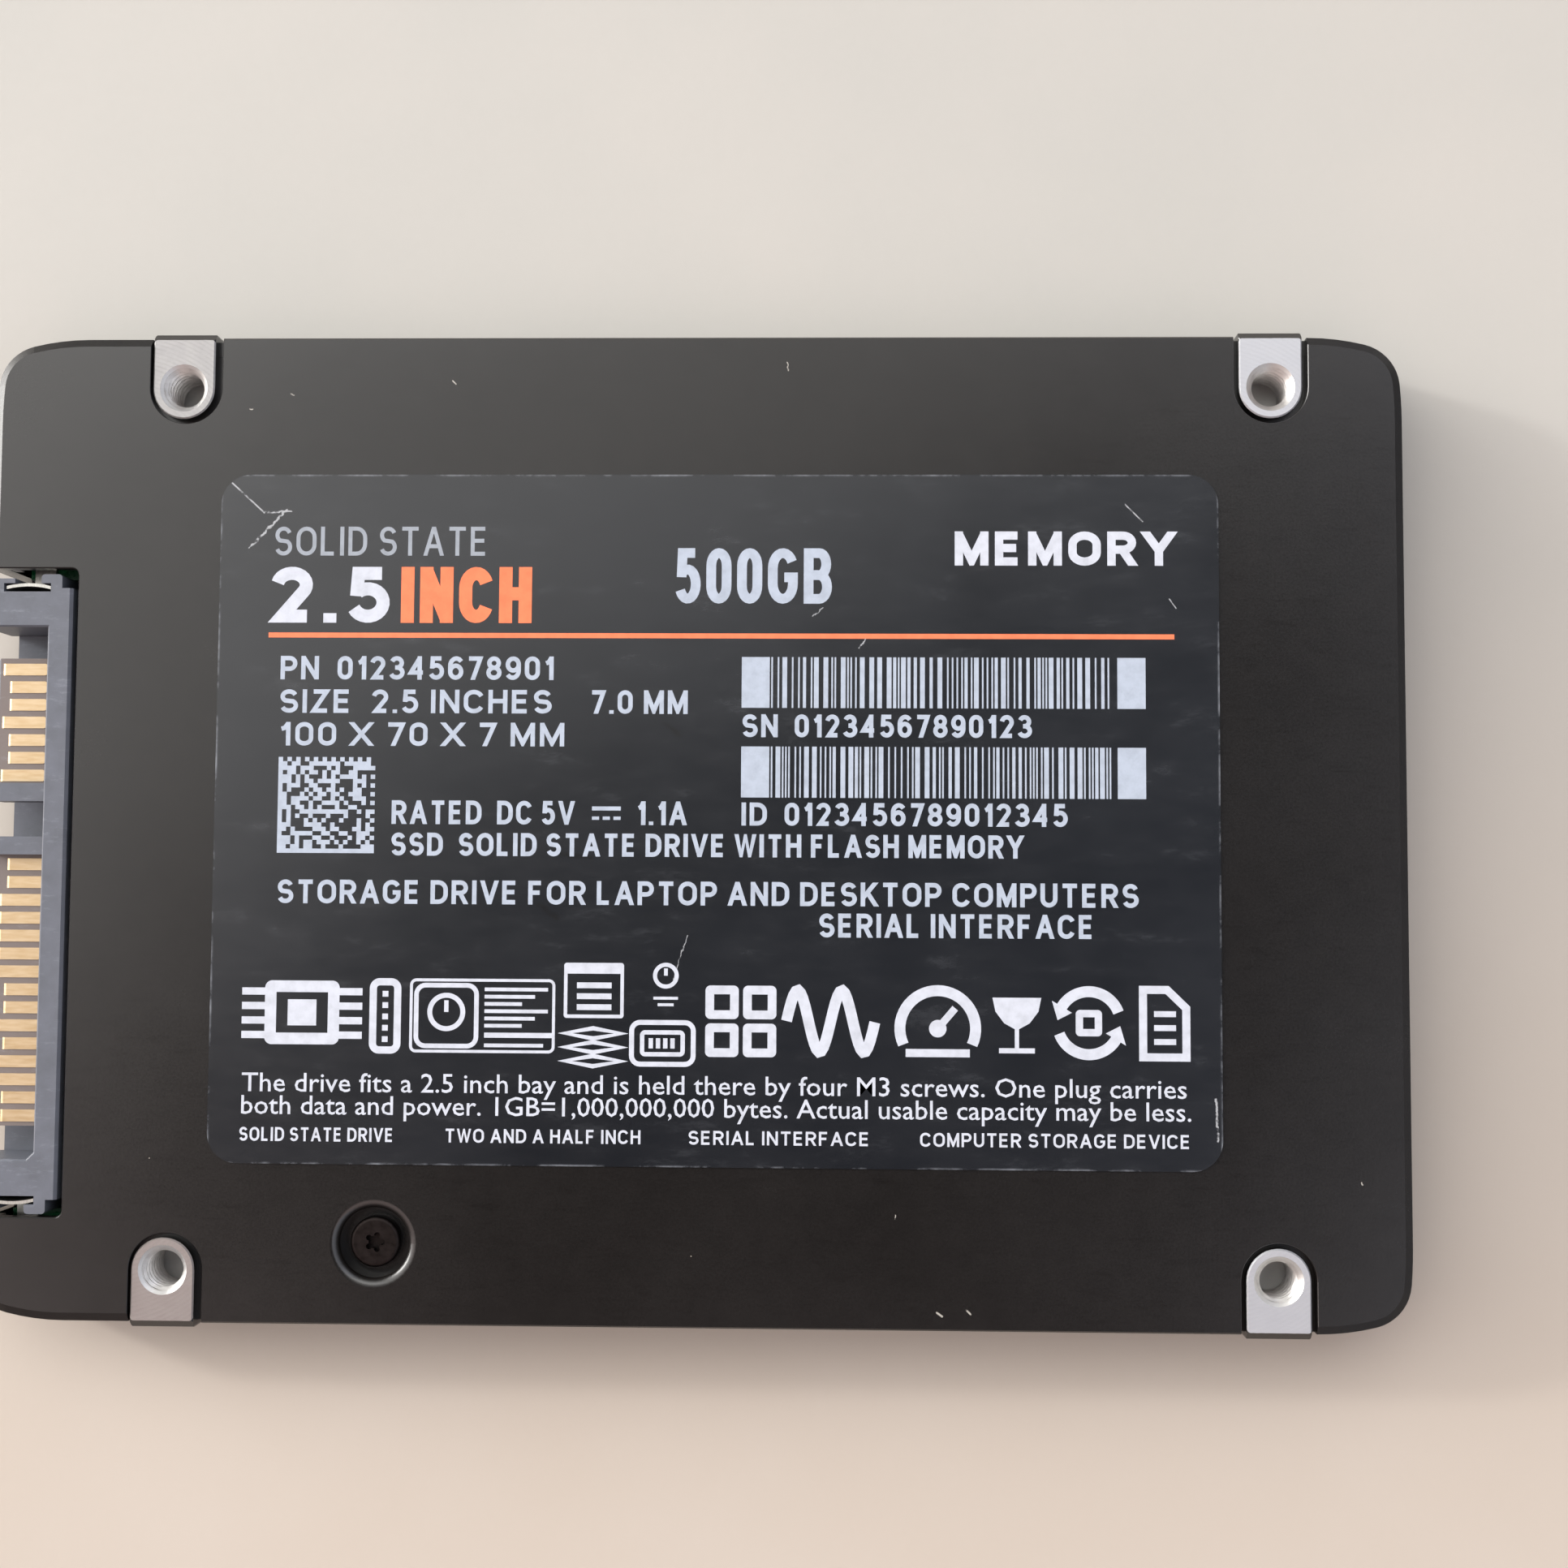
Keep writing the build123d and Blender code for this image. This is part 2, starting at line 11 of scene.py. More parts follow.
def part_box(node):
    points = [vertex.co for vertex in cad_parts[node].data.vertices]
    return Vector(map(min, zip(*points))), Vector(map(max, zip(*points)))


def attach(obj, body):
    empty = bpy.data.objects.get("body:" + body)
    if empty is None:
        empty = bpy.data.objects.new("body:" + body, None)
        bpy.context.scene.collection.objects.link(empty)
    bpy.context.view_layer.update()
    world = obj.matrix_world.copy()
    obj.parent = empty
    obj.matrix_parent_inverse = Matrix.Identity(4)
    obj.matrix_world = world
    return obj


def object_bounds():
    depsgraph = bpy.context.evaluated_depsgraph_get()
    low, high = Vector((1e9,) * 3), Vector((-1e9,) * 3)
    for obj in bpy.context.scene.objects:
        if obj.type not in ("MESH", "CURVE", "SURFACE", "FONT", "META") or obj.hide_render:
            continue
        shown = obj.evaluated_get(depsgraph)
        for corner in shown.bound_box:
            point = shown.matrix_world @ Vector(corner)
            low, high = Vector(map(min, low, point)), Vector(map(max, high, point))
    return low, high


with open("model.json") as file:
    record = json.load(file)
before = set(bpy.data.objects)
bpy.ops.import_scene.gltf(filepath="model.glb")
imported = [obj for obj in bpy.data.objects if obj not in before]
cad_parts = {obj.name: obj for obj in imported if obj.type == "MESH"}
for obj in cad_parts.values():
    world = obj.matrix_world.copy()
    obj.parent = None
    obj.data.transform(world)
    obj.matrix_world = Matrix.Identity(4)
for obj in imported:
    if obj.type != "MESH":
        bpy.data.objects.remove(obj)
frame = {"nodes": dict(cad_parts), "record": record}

MM = 0.001
cad_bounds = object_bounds()
mounts = {mount["name"]: mount for mount in frame["record"]["mounts"]}

# ---------------------------------------------------------------- places taken from the frame

label_low, label_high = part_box("label")
label_top = label_high.z
boss_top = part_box("base_shell")[1].z
hole_pattern = mounts["label_side_holes"]
hole_middle_x = hole_pattern["pos_m"][0]
hole_half_x = hole_pattern["dims"]["spacing_x_mm"] * MM / 2
hole_half_y = hole_pattern["dims"]["spacing_y_mm"] * MM / 2
label_side_depth = 4.0 * MM
side_depth = 2.3 * MM


def hole_axes():
    """The eight M3 holes: a point on the mouth, the way in, and the depth of the bore."""
    holes = []
    across = (hole_middle_x - hole_half_x, hole_middle_x + hole_half_x)
    for x in across:
        for side in (-1, 1):
            mouth = Vector((x, side * hole_half_y, boss_top))
            holes.append((mouth, Vector((0, 0, -1)), label_side_depth))
    for name in ("left_side_holes", "right_side_holes"):
        side_y = mounts[name]["pos_m"][1]
        z = mounts[name]["pos_m"][2]
        inward = Vector((0, -1 if side_y > 0 else 1, 0))
        for x in across:
            holes.append((Vector((x, side_y, z)), inward, side_depth))
    return holes


# ---------------------------------------------------------------- materials


class Nodes:
    """A material's node tree, with short calls for the nodes used here."""

    def __init__(self, name):
        self.material = bpy.data.materials.new(name)
        self.material.use_nodes = True
        self.tree = self.material.node_tree
        self.shader = self.tree.nodes["Principled BSDF"]
        place = self.tree.nodes.new("ShaderNodeTexCoord")
        self.place = place.outputs["Object"]

    def link(self, source, target):
        self.tree.links.new(source, target)

    def noise(self, size, detail=3.0, rough=0.55, place=None):
        """Noise whose blobs are about size metres across, as a 0 to 1 value."""
        node = self.tree.nodes.new("ShaderNodeTexNoise")
        node.inputs["Scale"].default_value = 1.0 / size
        node.inputs["Detail"].default_value = detail
        node.inputs["Roughness"].default_value = rough
        self.link(place or self.place, node.inputs["Vector"])
        return node.outputs["Fac"]

    def stretch(self, scale, turn=0.0):
        """The object's own coordinates, scaled and turned about Z."""
        node = self.tree.nodes.new("ShaderNodeMapping")
        node.inputs["Scale"].default_value = scale
        node.inputs["Rotation"].default_value = (0, 0, turn)
        self.link(self.place, node.inputs["Vector"])
        return node.outputs["Vector"]

    def cells(self, size, place=None):
        """Distance to the nearest of points about size metres apart."""
        node = self.tree.nodes.new("ShaderNodeTexVoronoi")
        node.inputs["Scale"].default_value = 1.0 / size
        self.link(place or self.place, node.inputs["Vector"])
        return node.outputs["Distance"]

    def spread(self, value, low, high, to_low=0.0, to_high=1.0):
        """value from low..high mapped, and held, to to_low..to_high."""
        node = self.tree.nodes.new("ShaderNodeMapRange")
        node.inputs["From Min"].default_value = low
        node.inputs["From Max"].default_value = high
        node.inputs["To Min"].default_value = to_low
        node.inputs["To Max"].default_value = to_high
        self.link(value, node.inputs["Value"])
        return node.outputs["Result"]

    def maths(self, operation, first, second=0.0):
        node = self.tree.nodes.new("ShaderNodeMath")
        node.operation = operation
        for socket, value in zip(node.inputs, (first, second)):
            if isinstance(value, (int, float)):
                socket.default_value = value
            else:
                self.link(value, socket)
        return node.outputs["Value"]

    def distance(self, first, second):
        """The length of a vector with these two components."""
        squares = [self.maths("MULTIPLY", value, value) for value in (first, second)]
        return self.maths("SQRT", self.maths("ADD", *squares))

    def past(self, value, limit):
        """How far value is beyond limit, or 0 where it is short of it."""
        return self.maths("MAXIMUM", self.maths("SUBTRACT", value, limit), 0.0)

    def axes(self):
        """The three object coordinates, in metres."""
        node = self.tree.nodes.new("ShaderNodeSeparateXYZ")
        self.link(self.place, node.inputs["Vector"])
        return node.outputs["X"], node.outputs["Y"], node.outputs["Z"]

    def marks(self, lines):
        """Thin scratches, each from x, y to x, y with a half width, all in millimetres."""
        x, y, _ = self.axes()
        wobble = self.spread(self.noise(0.35 * MM, 3.0), 0.3, 0.7, -0.06 * MM, 0.06 * MM)
        x = self.maths("ADD", x, wobble)
        y = self.maths("SUBTRACT", y, wobble)
        found = 0.0
        for x0, y0, x1, y1, half in lines:
            run = Vector((x1 - x0, y1 - y0)) * MM
            from_x = self.maths("SUBTRACT", x, x0 * MM)
            from_y = self.maths("SUBTRACT", y, y0 * MM)
            along = self.maths("MULTIPLY", from_x, run.x / run.length_squared)
            along = self.maths("ADD", along, self.maths("MULTIPLY", from_y, run.y / run.length_squared))
            along = self.maths("MINIMUM", self.maths("MAXIMUM", along, 0.0), 1.0)
            off_x = self.maths("SUBTRACT", from_x, self.maths("MULTIPLY", along, run.x))
            off_y = self.maths("SUBTRACT", from_y, self.maths("MULTIPLY", along, run.y))
            mark = self.spread(self.distance(off_x, off_y), 0.4 * half * MM, half * MM, 1.0, 0.0)
            found = self.maths("MAXIMUM", mark, found)
        broken = self.spread(self.noise(0.5 * MM, 4.0, 0.7), 0.36, 0.50)
        return self.maths("MULTIPLY", found, broken)

    def upward(self):
        """How far the surface faces up, along the object's own Z."""
        place = self.tree.nodes.new("ShaderNodeTexCoord")
        split = self.tree.nodes.new("ShaderNodeSeparateXYZ")
        self.link(place.outputs["Normal"], split.inputs["Vector"])
        return split.outputs["Z"]

    def mix(self, share, first, second):
        """Two colours, each a tuple or a socket, mixed by share."""
        node = self.tree.nodes.new("ShaderNodeMix")
        node.data_type = "RGBA"
        for name, value in (("Factor", share), ("A", first), ("B", second)):
            socket = [s for s in node.inputs if s.name == name and s.enabled][0]
            if isinstance(value, (int, float)):
                socket.default_value = value
            elif isinstance(value, tuple):
                socket.default_value = (*value, 1.0)
            else:
                self.link(value, socket)
        return [s for s in node.outputs if s.enabled][0]

    def mix_normals(self, share, first, second):
        """Two normals mixed by share."""
        node = self.tree.nodes.new("ShaderNodeMix")
        node.data_type = "VECTOR"
        sockets = [socket for socket in node.inputs if socket.enabled]
        for socket, value in zip(sockets, (share, first, second)):
            self.link(value, socket)
        return [socket for socket in node.outputs if socket.enabled][0]

    def bump(self, height, depth):
        """A bump whose relief is depth metres."""
        node = self.tree.nodes.new("ShaderNodeBump")
        node.inputs["Strength"].default_value = 1.0
        node.inputs["Distance"].default_value = depth
        self.link(height, node.inputs["Height"])
        return node.outputs["Normal"]

    def finish(self, colour, rough, normal, metal=0.0):
        """Sets the shader's main sockets; all but the normal may be a constant or a socket."""
        pairs = (("Base Color", colour), ("Roughness", rough), ("Metallic", metal))
        for name, value in pairs:
            socket = self.shader.inputs[name]
            if isinstance(value, tuple):
                socket.default_value = (*value, 1.0)
            elif isinstance(value, (int, float)):
                socket.default_value = value
            else:
                self.link(value, socket)
        self.link(normal, self.shader.inputs["Normal"])
        return self.material


def srgb(text):
    """A hex colour as linear values."""
    values = [int(text[i : i + 2], 16) / 255 for i in (0, 2, 4)]
    return tuple(v / 12.92 if v <= 0.04045 else ((v + 0.055) / 1.055) ** 2.4 for v in values)


case_black = srgb("131110")


def paint_parts(n, tone):
    """Colour, roughness and relief of the satin black paint, shared by the case's two halves."""
    broad = n.noise(18 * MM, 3.0)
    mottle = n.noise(1.6 * MM, 4.0)
    grain = n.noise(0.16 * MM, 2.0, 0.6)
    dark = tuple(c * 0.86 for c in tone)
    light = tuple(c * 1.13 for c in tone)
    colour = n.mix(n.spread(mottle, 0.3, 0.7), dark, light)
    speck = n.spread(n.cells(2.7 * MM), 0.010, 0.020, 1.0, 0.0)
    sparse = n.spread(n.noise(4.5 * MM, 1.0), 0.60, 0.62)
    colour = n.mix(n.maths("MULTIPLY", speck, sparse), colour, srgb("8d877c"))
    scuffs = n.spread(n.noise(3.0 * MM, 6.0, 0.7, n.stretch((1.0, 6.0, 1.0), 0.5)), 0.55, 0.75)
    rough = n.maths("ADD", n.spread(broad, 0.3, 0.7, 0.22, 0.26), n.spread(grain, 0.3, 0.7, -0.02, 0.02))
    rough = n.maths("SUBTRACT", rough, n.maths("MULTIPLY", scuffs, 0.03))
    n.shader.inputs["Specular IOR Level"].default_value = 0.7
    normal = n.bump(grain, 0.0016 * MM)
    return colour, rough, normal


def cover_material():
    """The cover's paint, with a few short nicks down to the metal."""
    n = Nodes("cover_paint")
    colour, rough, normal = paint_parts(n, case_black)
    nicks = [
        (6.8, 32.6, 6.9, 32.0, 0.05), (-16.8, 31.3, -16.6, 31.1, 0.06), (17.4, -33.2, 17.7, -33.4, 0.09),
        (19.4, -33.0, 19.6, -33.2, 0.08), (14.5, -26.6, 14.5, -26.9, 0.05), (-28.3, 30.4, -28.1, 30.3, 0.06),
        (41.8, 30.2, 41.9, 30.0, 0.05), (-31.2, 29.3, -31.0, 29.3, 0.05), (46.2, -24.1, 46.3, -24.3, 0.05),
    ]
    colour = n.mix(n.marks(nicks), colour, srgb("a09c94"))
    return n.finish(colour, rough, normal)


def milled_parts(n, x, side):
    """Bare machined aluminium: swept cutter arcs, fine scratches and dull patches."""
    cutter_centre = 24 * MM
    cutter_step = 0.30 * MM
    repeat = 76.6 * MM
    to_middle = n.maths("SUBTRACT", side, cutter_centre)
    across = n.maths("MODULO", n.maths("ADD", x, 500 * MM), repeat)
    sweep = n.distance(to_middle, across)
    arcs = n.maths("SINE", n.maths("MULTIPLY", sweep, 2 * math.pi / cutter_step))
    fine = n.noise(0.25 * MM, 4.0, 0.6, n.stretch((1.0, 4.0, 1.0), 0.9))
    patch = n.noise(1.1 * MM, 3.0)
    colour = n.mix(n.spread(patch, 0.3, 0.7), srgb("9a9999"), srgb("a7a6a5"))
    rough = n.maths("ADD", n.spread(patch, 0.3, 0.7, 0.58, 0.66), n.spread(fine, 0.3, 0.7, -0.04, 0.04))
    rough = n.maths("ADD", rough, n.maths("MULTIPLY", arcs, 0.02))
    arcs = n.maths("MULTIPLY", arcs, n.spread(n.noise(0.9 * MM, 4.0, 0.65), 0.36, 0.64))
    colour = n.mix(n.spread(arcs, 0.1, 0.9, 0.0, 0.20), colour, srgb("858382"))
    relief = n.maths("ADD", n.maths("MULTIPLY", arcs, 0.45), fine)
    return colour, rough, n.bump(relief, 0.003 * MM)


def shell_material():
    """Paint, with bare metal where the case is machined: boss faces, countersinks and bores."""
    n = Nodes("shell_paint")
    paint, paint_rough, paint_normal = paint_parts(n, case_black)
    x, y, z = n.axes()
    side = n.maths("ABSOLUTE", y)
    metal, metal_rough, metal_normal = milled_parts(n, x, side)
    # Painted reflection and shade: the bare metal is painted brighter and bluer towards the far end, and
    # darker and browner towards one corner by the plug.
    painted_reflection_far_end = n.spread(x, -30 * MM, 30 * MM)
    metal = n.mix(n.maths("MULTIPLY", painted_reflection_far_end, 0.55), metal, srgb("cfd1d6"))
    painted_shade_x = n.spread(x, -30 * MM, 30 * MM, 1.0, 0.0)
    painted_shade_y = n.spread(y, -25 * MM, 25 * MM, 1.0, 0.0)
    metal = n.mix(n.maths("MULTIPLY", n.maths("MULTIPLY", painted_shade_x, painted_shade_y), 0.55), metal, srgb("8b7d78"))
    from_middle = n.maths("ABSOLUTE", n.maths("SUBTRACT", x, hole_middle_x))
    from_hole = n.maths("SUBTRACT", from_middle, hole_half_x)
    along = n.maths("SUBTRACT", side, hole_half_y)
    height = n.maths("SUBTRACT", z, mounts["left_side_holes"]["pos_m"][2])
    # The machined face ends in a straight line near the side, with small round corners.
    round_corner = 0.30 * MM
    half_width = 2.2 * MM
    straight_end = 34.31 * MM
    wobble = n.spread(n.noise(0.5 * MM), 0.3, 0.7, -0.015 * MM, 0.015 * MM)
    over_x = n.past(n.maths("ABSOLUTE", from_hole), half_width - round_corner)
    over_y = n.past(side, straight_end - round_corner)
    corner = n.maths("ADD", n.distance(over_x, over_y), wobble)
    inside = n.spread(corner, round_corner, round_corner + 0.02 * MM, 1.0, 0.0)
    above = n.spread(n.maths("ADD", z, wobble), boss_top - 0.11 * MM, boss_top - 0.09 * MM)
    face = n.maths("MULTIPLY", above, inside)
    # Countersinks and bores are brighter than the faces round them.
    sink_inner, sink_outer = 1.685 * MM, 1.70 * MM
    upright = n.spread(n.distance(from_hole, along), sink_inner, sink_outer, 1.0, 0.0)
    upright = n.maths("MULTIPLY", upright, n.spread(z, 2.5 * MM, 2.55 * MM))
    level = n.spread(n.distance(from_hole, height), sink_inner, sink_outer, 1.0, 0.0)
    level = n.maths("MULTIPLY", level, n.spread(side, 32.0 * MM, 32.1 * MM))
    bored = n.maths("MAXIMUM", upright, level)
    bare = n.maths("MAXIMUM", face, bored)
    colour = n.mix(bare, paint, n.mix(bored, metal, srgb("dad9d7")))
    metal_rough = n.maths("SUBTRACT", metal_rough, n.maths("MULTIPLY", bored, 0.20))
    rough = n.mix(bare, paint_rough, metal_rough)
    return n.finish(colour, rough, n.mix_normals(bare, paint_normal, metal_normal), bare)


def thread_material():
    """Cut aluminium, brighter and smoother than the milled faces."""
    n = Nodes("bare_aluminium")
    fine = n.noise(0.12 * MM, 3.0)
    colour = n.mix(n.spread(n.noise(0.6 * MM), 0.3, 0.7), srgb("c2c0bd"), srgb("dddbd8"))
    rough = n.spread(fine, 0.3, 0.7, 0.36, 0.46)
    return n.finish(colour, rough, n.bump(fine, 0.001 * MM), 1.0)


def label_material():
    """Dark glossy film: rubbed patches, a painted highlight along its rim in patches, hairline scratches and
    a few smears.
    """
    n = Nodes("label_film")
    weave = n.noise(0.09 * MM, 2.0)
    broad = n.noise(14 * MM, 3.0)
    rub = n.noise(5 * MM, 7.0, 0.75, n.stretch((1.0, 3.0, 1.0), -0.6))
    x, y, _ = n.axes()
    middle = (label_low + label_high) / 2
    half = (label_high - label_low) / 2
    from_x = n.maths("SUBTRACT", half.x, n.maths("ABSOLUTE", n.maths("SUBTRACT", x, middle.x)))
    from_y = n.maths("SUBTRACT", half.y, n.maths("ABSOLUTE", n.maths("SUBTRACT", y, middle.y)))
    # Painted highlight: a lighter band along the label's rim, broken into patches.
    edge = n.spread(n.maths("MINIMUM", from_x, from_y), 0.04 * MM, 0.16 * MM, 1.0, 0.0)
    highlight_patches = n.spread(n.noise(3.5 * MM, 5.0, 0.7), 0.46, 0.66)
    colour = n.mix(n.spread(broad, 0.3, 0.7), srgb("0e1116"), srgb("13161b"))
    colour = n.mix(n.maths("MULTIPLY", n.spread(rub, 0.58, 0.78), 0.22), colour, srgb("4a4d52"))
    colour = n.mix(n.maths("MULTIPLY", n.maths("MULTIPLY", edge, highlight_patches), 0.55), colour, srgb("8d9198"))
    hairlines = [
        (-32.3, 24.0, -30.0, 21.9, 0.07), (-30.0, 21.9, -28.1, 22.0, 0.08), (-31.0, 19.4, -28.4, 22.1, 0.09),
        (2.1, 25.0, 2.2, 25.6, 0.08), (6.9, 24.9, 6.8, 25.6, 0.07), (17.1, 24.9, 17.2, 25.6, 0.09),
        (30.4, 22.5, 31.6, 21.3, 0.06), (33.4, 15.9, 33.9, 15.2, 0.05), (12.4, 13.1, 11.9, 12.4, 0.06),
        (0.1, -7.6, -0.9, -10.9, 0.04), (36.4, -18.6, 36.5, -21.4, 0.10), (9.4, 15.2, 8.7, 14.6, 0.05),
    ]
    colour = n.mix(n.maths("MULTIPLY", n.marks(hairlines), 0.8), colour, srgb("a7a9ac"))
    smears = [(-10.2, -5.6, -9.0, -6.4, 0.30), (-1.6, 7.1, -0.6, 6.3, 0.25), (-9.6, -1.9, -6.6, -2.3, 0.22)]
    colour = n.mix(n.maths("MULTIPLY", n.marks(smears), 0.75), colour, srgb("08090b"))
    rough = n.maths("ADD", n.spread(broad, 0.3, 0.7, 0.21, 0.25), n.spread(rub, 0.4, 0.8, 0.0, 0.05))
    n.shader.inputs["Specular IOR Level"].default_value = 0.9
    return n.finish(colour, rough, n.bump(weave, 0.0012 * MM))


def ink_material(name, colour):
    """Printed ink: slightly uneven, a little rubbed away in places."""
    n = Nodes(name)
    patch = n.noise(0.7 * MM, 5.0, 0.65)
    dark = tuple(c * 0.80 for c in colour)
    shade = n.mix(n.spread(patch, 0.25, 0.6), dark, colour)
    fine = n.noise(0.06 * MM, 2.0)
    return n.finish(shade, n.spread(patch, 0.3, 0.7, 0.42, 0.55), n.bump(fine, 0.0008 * MM))


def plug_material():
    """Blue-grey moulded plastic, with a painted brown reflection of the gold contacts, in shade, on the
    tongues' upper faces between the contacts.
    """
    n = Nodes("plug_plastic")
    fine = n.noise(0.10 * MM, 3.0, 0.6)
    cloud = n.noise(2.2 * MM, 5.0, 0.65)
    x, _, z = n.axes()
    colour = n.mix(n.spread(cloud, 0.3, 0.7), srgb("4e5158"), srgb("5a5d66"))
    # Painted reflection and shade: the tongues' upper faces between the contacts are tinted brown, as the
    # gold contacts reflect there.
    painted_gold_reflection = n.spread(x, -45.35 * MM, -45.25 * MM, 1.0, 0.0)
    painted_gold_reflection = n.maths("MULTIPLY", painted_gold_reflection, n.spread(z, 3.8 * MM, 3.85 * MM))
    painted_gold_reflection = n.maths("MULTIPLY", painted_gold_reflection, n.spread(z, 4.0 * MM, 4.1 * MM, 1.0, 0.0))
    painted_gold_reflection = n.maths("MULTIPLY", painted_gold_reflection, n.spread(n.upward(), 0.90, 0.98))
    colour = n.mix(n.maths("MULTIPLY", painted_gold_reflection, 0.7), colour, srgb("6d5f56"))
    scuff = n.spread(n.noise(1.5 * MM, 7.0, 0.75, n.stretch((1.0, 4.0, 1.0), 0.4)), 0.56, 0.72)
    colour = n.mix(n.maths("MULTIPLY", scuff, 0.25), colour, srgb("9297a0"))
    rough = n.maths("ADD", n.spread(cloud, 0.3, 0.7, 0.44, 0.52), n.spread(fine, 0.3, 0.7, -0.03, 0.03))
    return n.finish(colour, rough, n.bump(fine, 0.003 * MM))


def gold_material():
    """Gold plating, faintly streaked along each contact by mating."""
    n = Nodes("contact_gold")
    rubbed = n.noise(1.2 * MM, 3.0, 0.5, n.stretch((1.0, 6.0, 1.0)))
    dull = n.noise(0.35 * MM, 3.0)
    colour = n.mix(n.spread(rubbed, 0.3, 0.7), srgb("b9a17e"), srgb("c5b193"))
    rough = n.maths("ADD", n.spread(dull, 0.3, 0.7, 0.40, 0.48), n.spread(rubbed, 0.3, 0.7, -0.03, 0.03))
    return n.finish(colour, rough, n.bump(dull, 0.0006 * MM), 1.0)


def steel_material(name, low, high, rough_low, rough_high, grain=0.4, streak=6.0):
    """Rolled or turned metal, with a fine streak across its length."""
    n = Nodes(name)
    brushed = n.noise(grain * MM, 4.0, 0.6, n.stretch((streak, 1.0, 1.0)))
    colour = n.mix(n.spread(brushed, 0.3, 0.7), srgb(low), srgb(high))
    rough = n.spread(brushed, 0.3, 0.7, rough_low, rough_high)
    return n.finish(colour, rough, n.bump(brushed, 0.0012 * MM), 1.0)


def board_material():
    """Solder mask over copper: faint traces and plated holes in the green."""
    n = Nodes("board_laminate")
    weave = n.noise(0.35 * MM, 3.0)
    traces = n.spread(n.cells(2.2 * MM, n.stretch((1.0, 2.5, 1.0))), 0.30, 0.34)
    colour = n.mix(traces, srgb("0d5a33"), srgb("0a4527"))
    vias = n.spread(n.cells(1.4 * MM), 0.05, 0.08, 1.0, 0.0)
    colour = n.mix(vias, colour, srgb("c8a860"))
    return n.finish(colour, n.spread(weave, 0.3, 0.7, 0.22, 0.34), n.bump(traces, 0.02 * MM))


def moulded_material(name, tone, rough_low, rough_high, size=0.12):
    """Moulded or fired matter with a fine grain."""
    n = Nodes(name)
    grain = n.noise(size * MM, 3.0, 0.6)
    cloud = n.noise(8 * size * MM, 3.0)
    base = srgb(tone)
    colour = n.mix(n.spread(cloud, 0.3, 0.7), tuple(c * 0.85 for c in base), tuple(c * 1.12 for c in base))
    return n.finish(colour, n.spread(grain, 0.3, 0.7, rough_low, rough_high), n.bump(grain, 0.006 * MM))


def table_material():
    """A matt pale table top, faintly clouded, painted warmer towards its lower edge."""
    n = Nodes("table_top")
    cloud = n.noise(30 * MM, 4.0)
    fine = n.noise(0.8 * MM, 4.0)
    _, y, _ = n.axes()
    # Painted warm light: the colour warms towards the lower edge, standing in for the warmer, dimmer light
    # there.
    across = n.spread(y, -40 * MM, 30 * MM)
    colour = n.mix(across, srgb("ada296"), srgb("a4a29c"))
    colour = n.mix(n.spread(cloud, 0.3, 0.7, 0.0, 0.25), colour, srgb("b8b1a9"))
    return n.finish(colour, n.spread(fine, 0.3, 0.7, 0.62, 0.72), n.bump(fine, 0.01 * MM))


node_materials = {
    "base_shell": shell_material(),
    "cover_plate": cover_material(),
    "case_screws": steel_material("screw_steel", "211d1c", "2b2625", 0.42, 0.54, 0.5, 1.0),
    "label": label_material(),
    "connector_housing": plug_material(),
    "connector_clips": steel_material("clip_metal", "a9a9a4", "c6c5c0", 0.30, 0.42),
    "circuit_board": board_material(),
    "power_inductors": moulded_material("inductor_case", "3a3a3d", 0.45, 0.65),
    "bulk_capacitors": moulded_material("capacitor_case", "2e2a26", 0.40, 0.55),
    "ceramic_capacitors": moulded_material("ceramic_body", "a98e6a", 0.35, 0.5, 0.06),
    "chip_resistors": moulded_material("resistor_body", "202022", 0.25, 0.4, 0.06),
    "crystal_oscillator": steel_material("crystal_can", "b8b3a6", "d2cdbf", 0.25, 0.38),
    "input_fuse": moulded_material("fuse_body", "d9d7cc", 0.35, 0.5),
}
gold = gold_material()
node_materials["signal_contacts"] = gold
node_materials["power_contacts"] = gold
epoxy = moulded_material("chip_package", "1d1d1f", 0.5, 0.68)
packages = ("controller_chip", "memory_chip", "flash_chips", "power_chip")
for name in packages + ("surge_diode", "temperature_sensor"):
    node_materials[name] = epoxy
silicone = moulded_material("pad_silicone", "7d98a6", 0.6, 0.75, 0.3)
for name in ("controller_thermal_pad", "flash_thermal_pads"):
    node_materials[name] = silicone

for name, node in frame["nodes"].items():
    for material_slot in node.material_slots:
        material_slot.material = node_materials[name]


# ---------------------------------------------------------------- threads


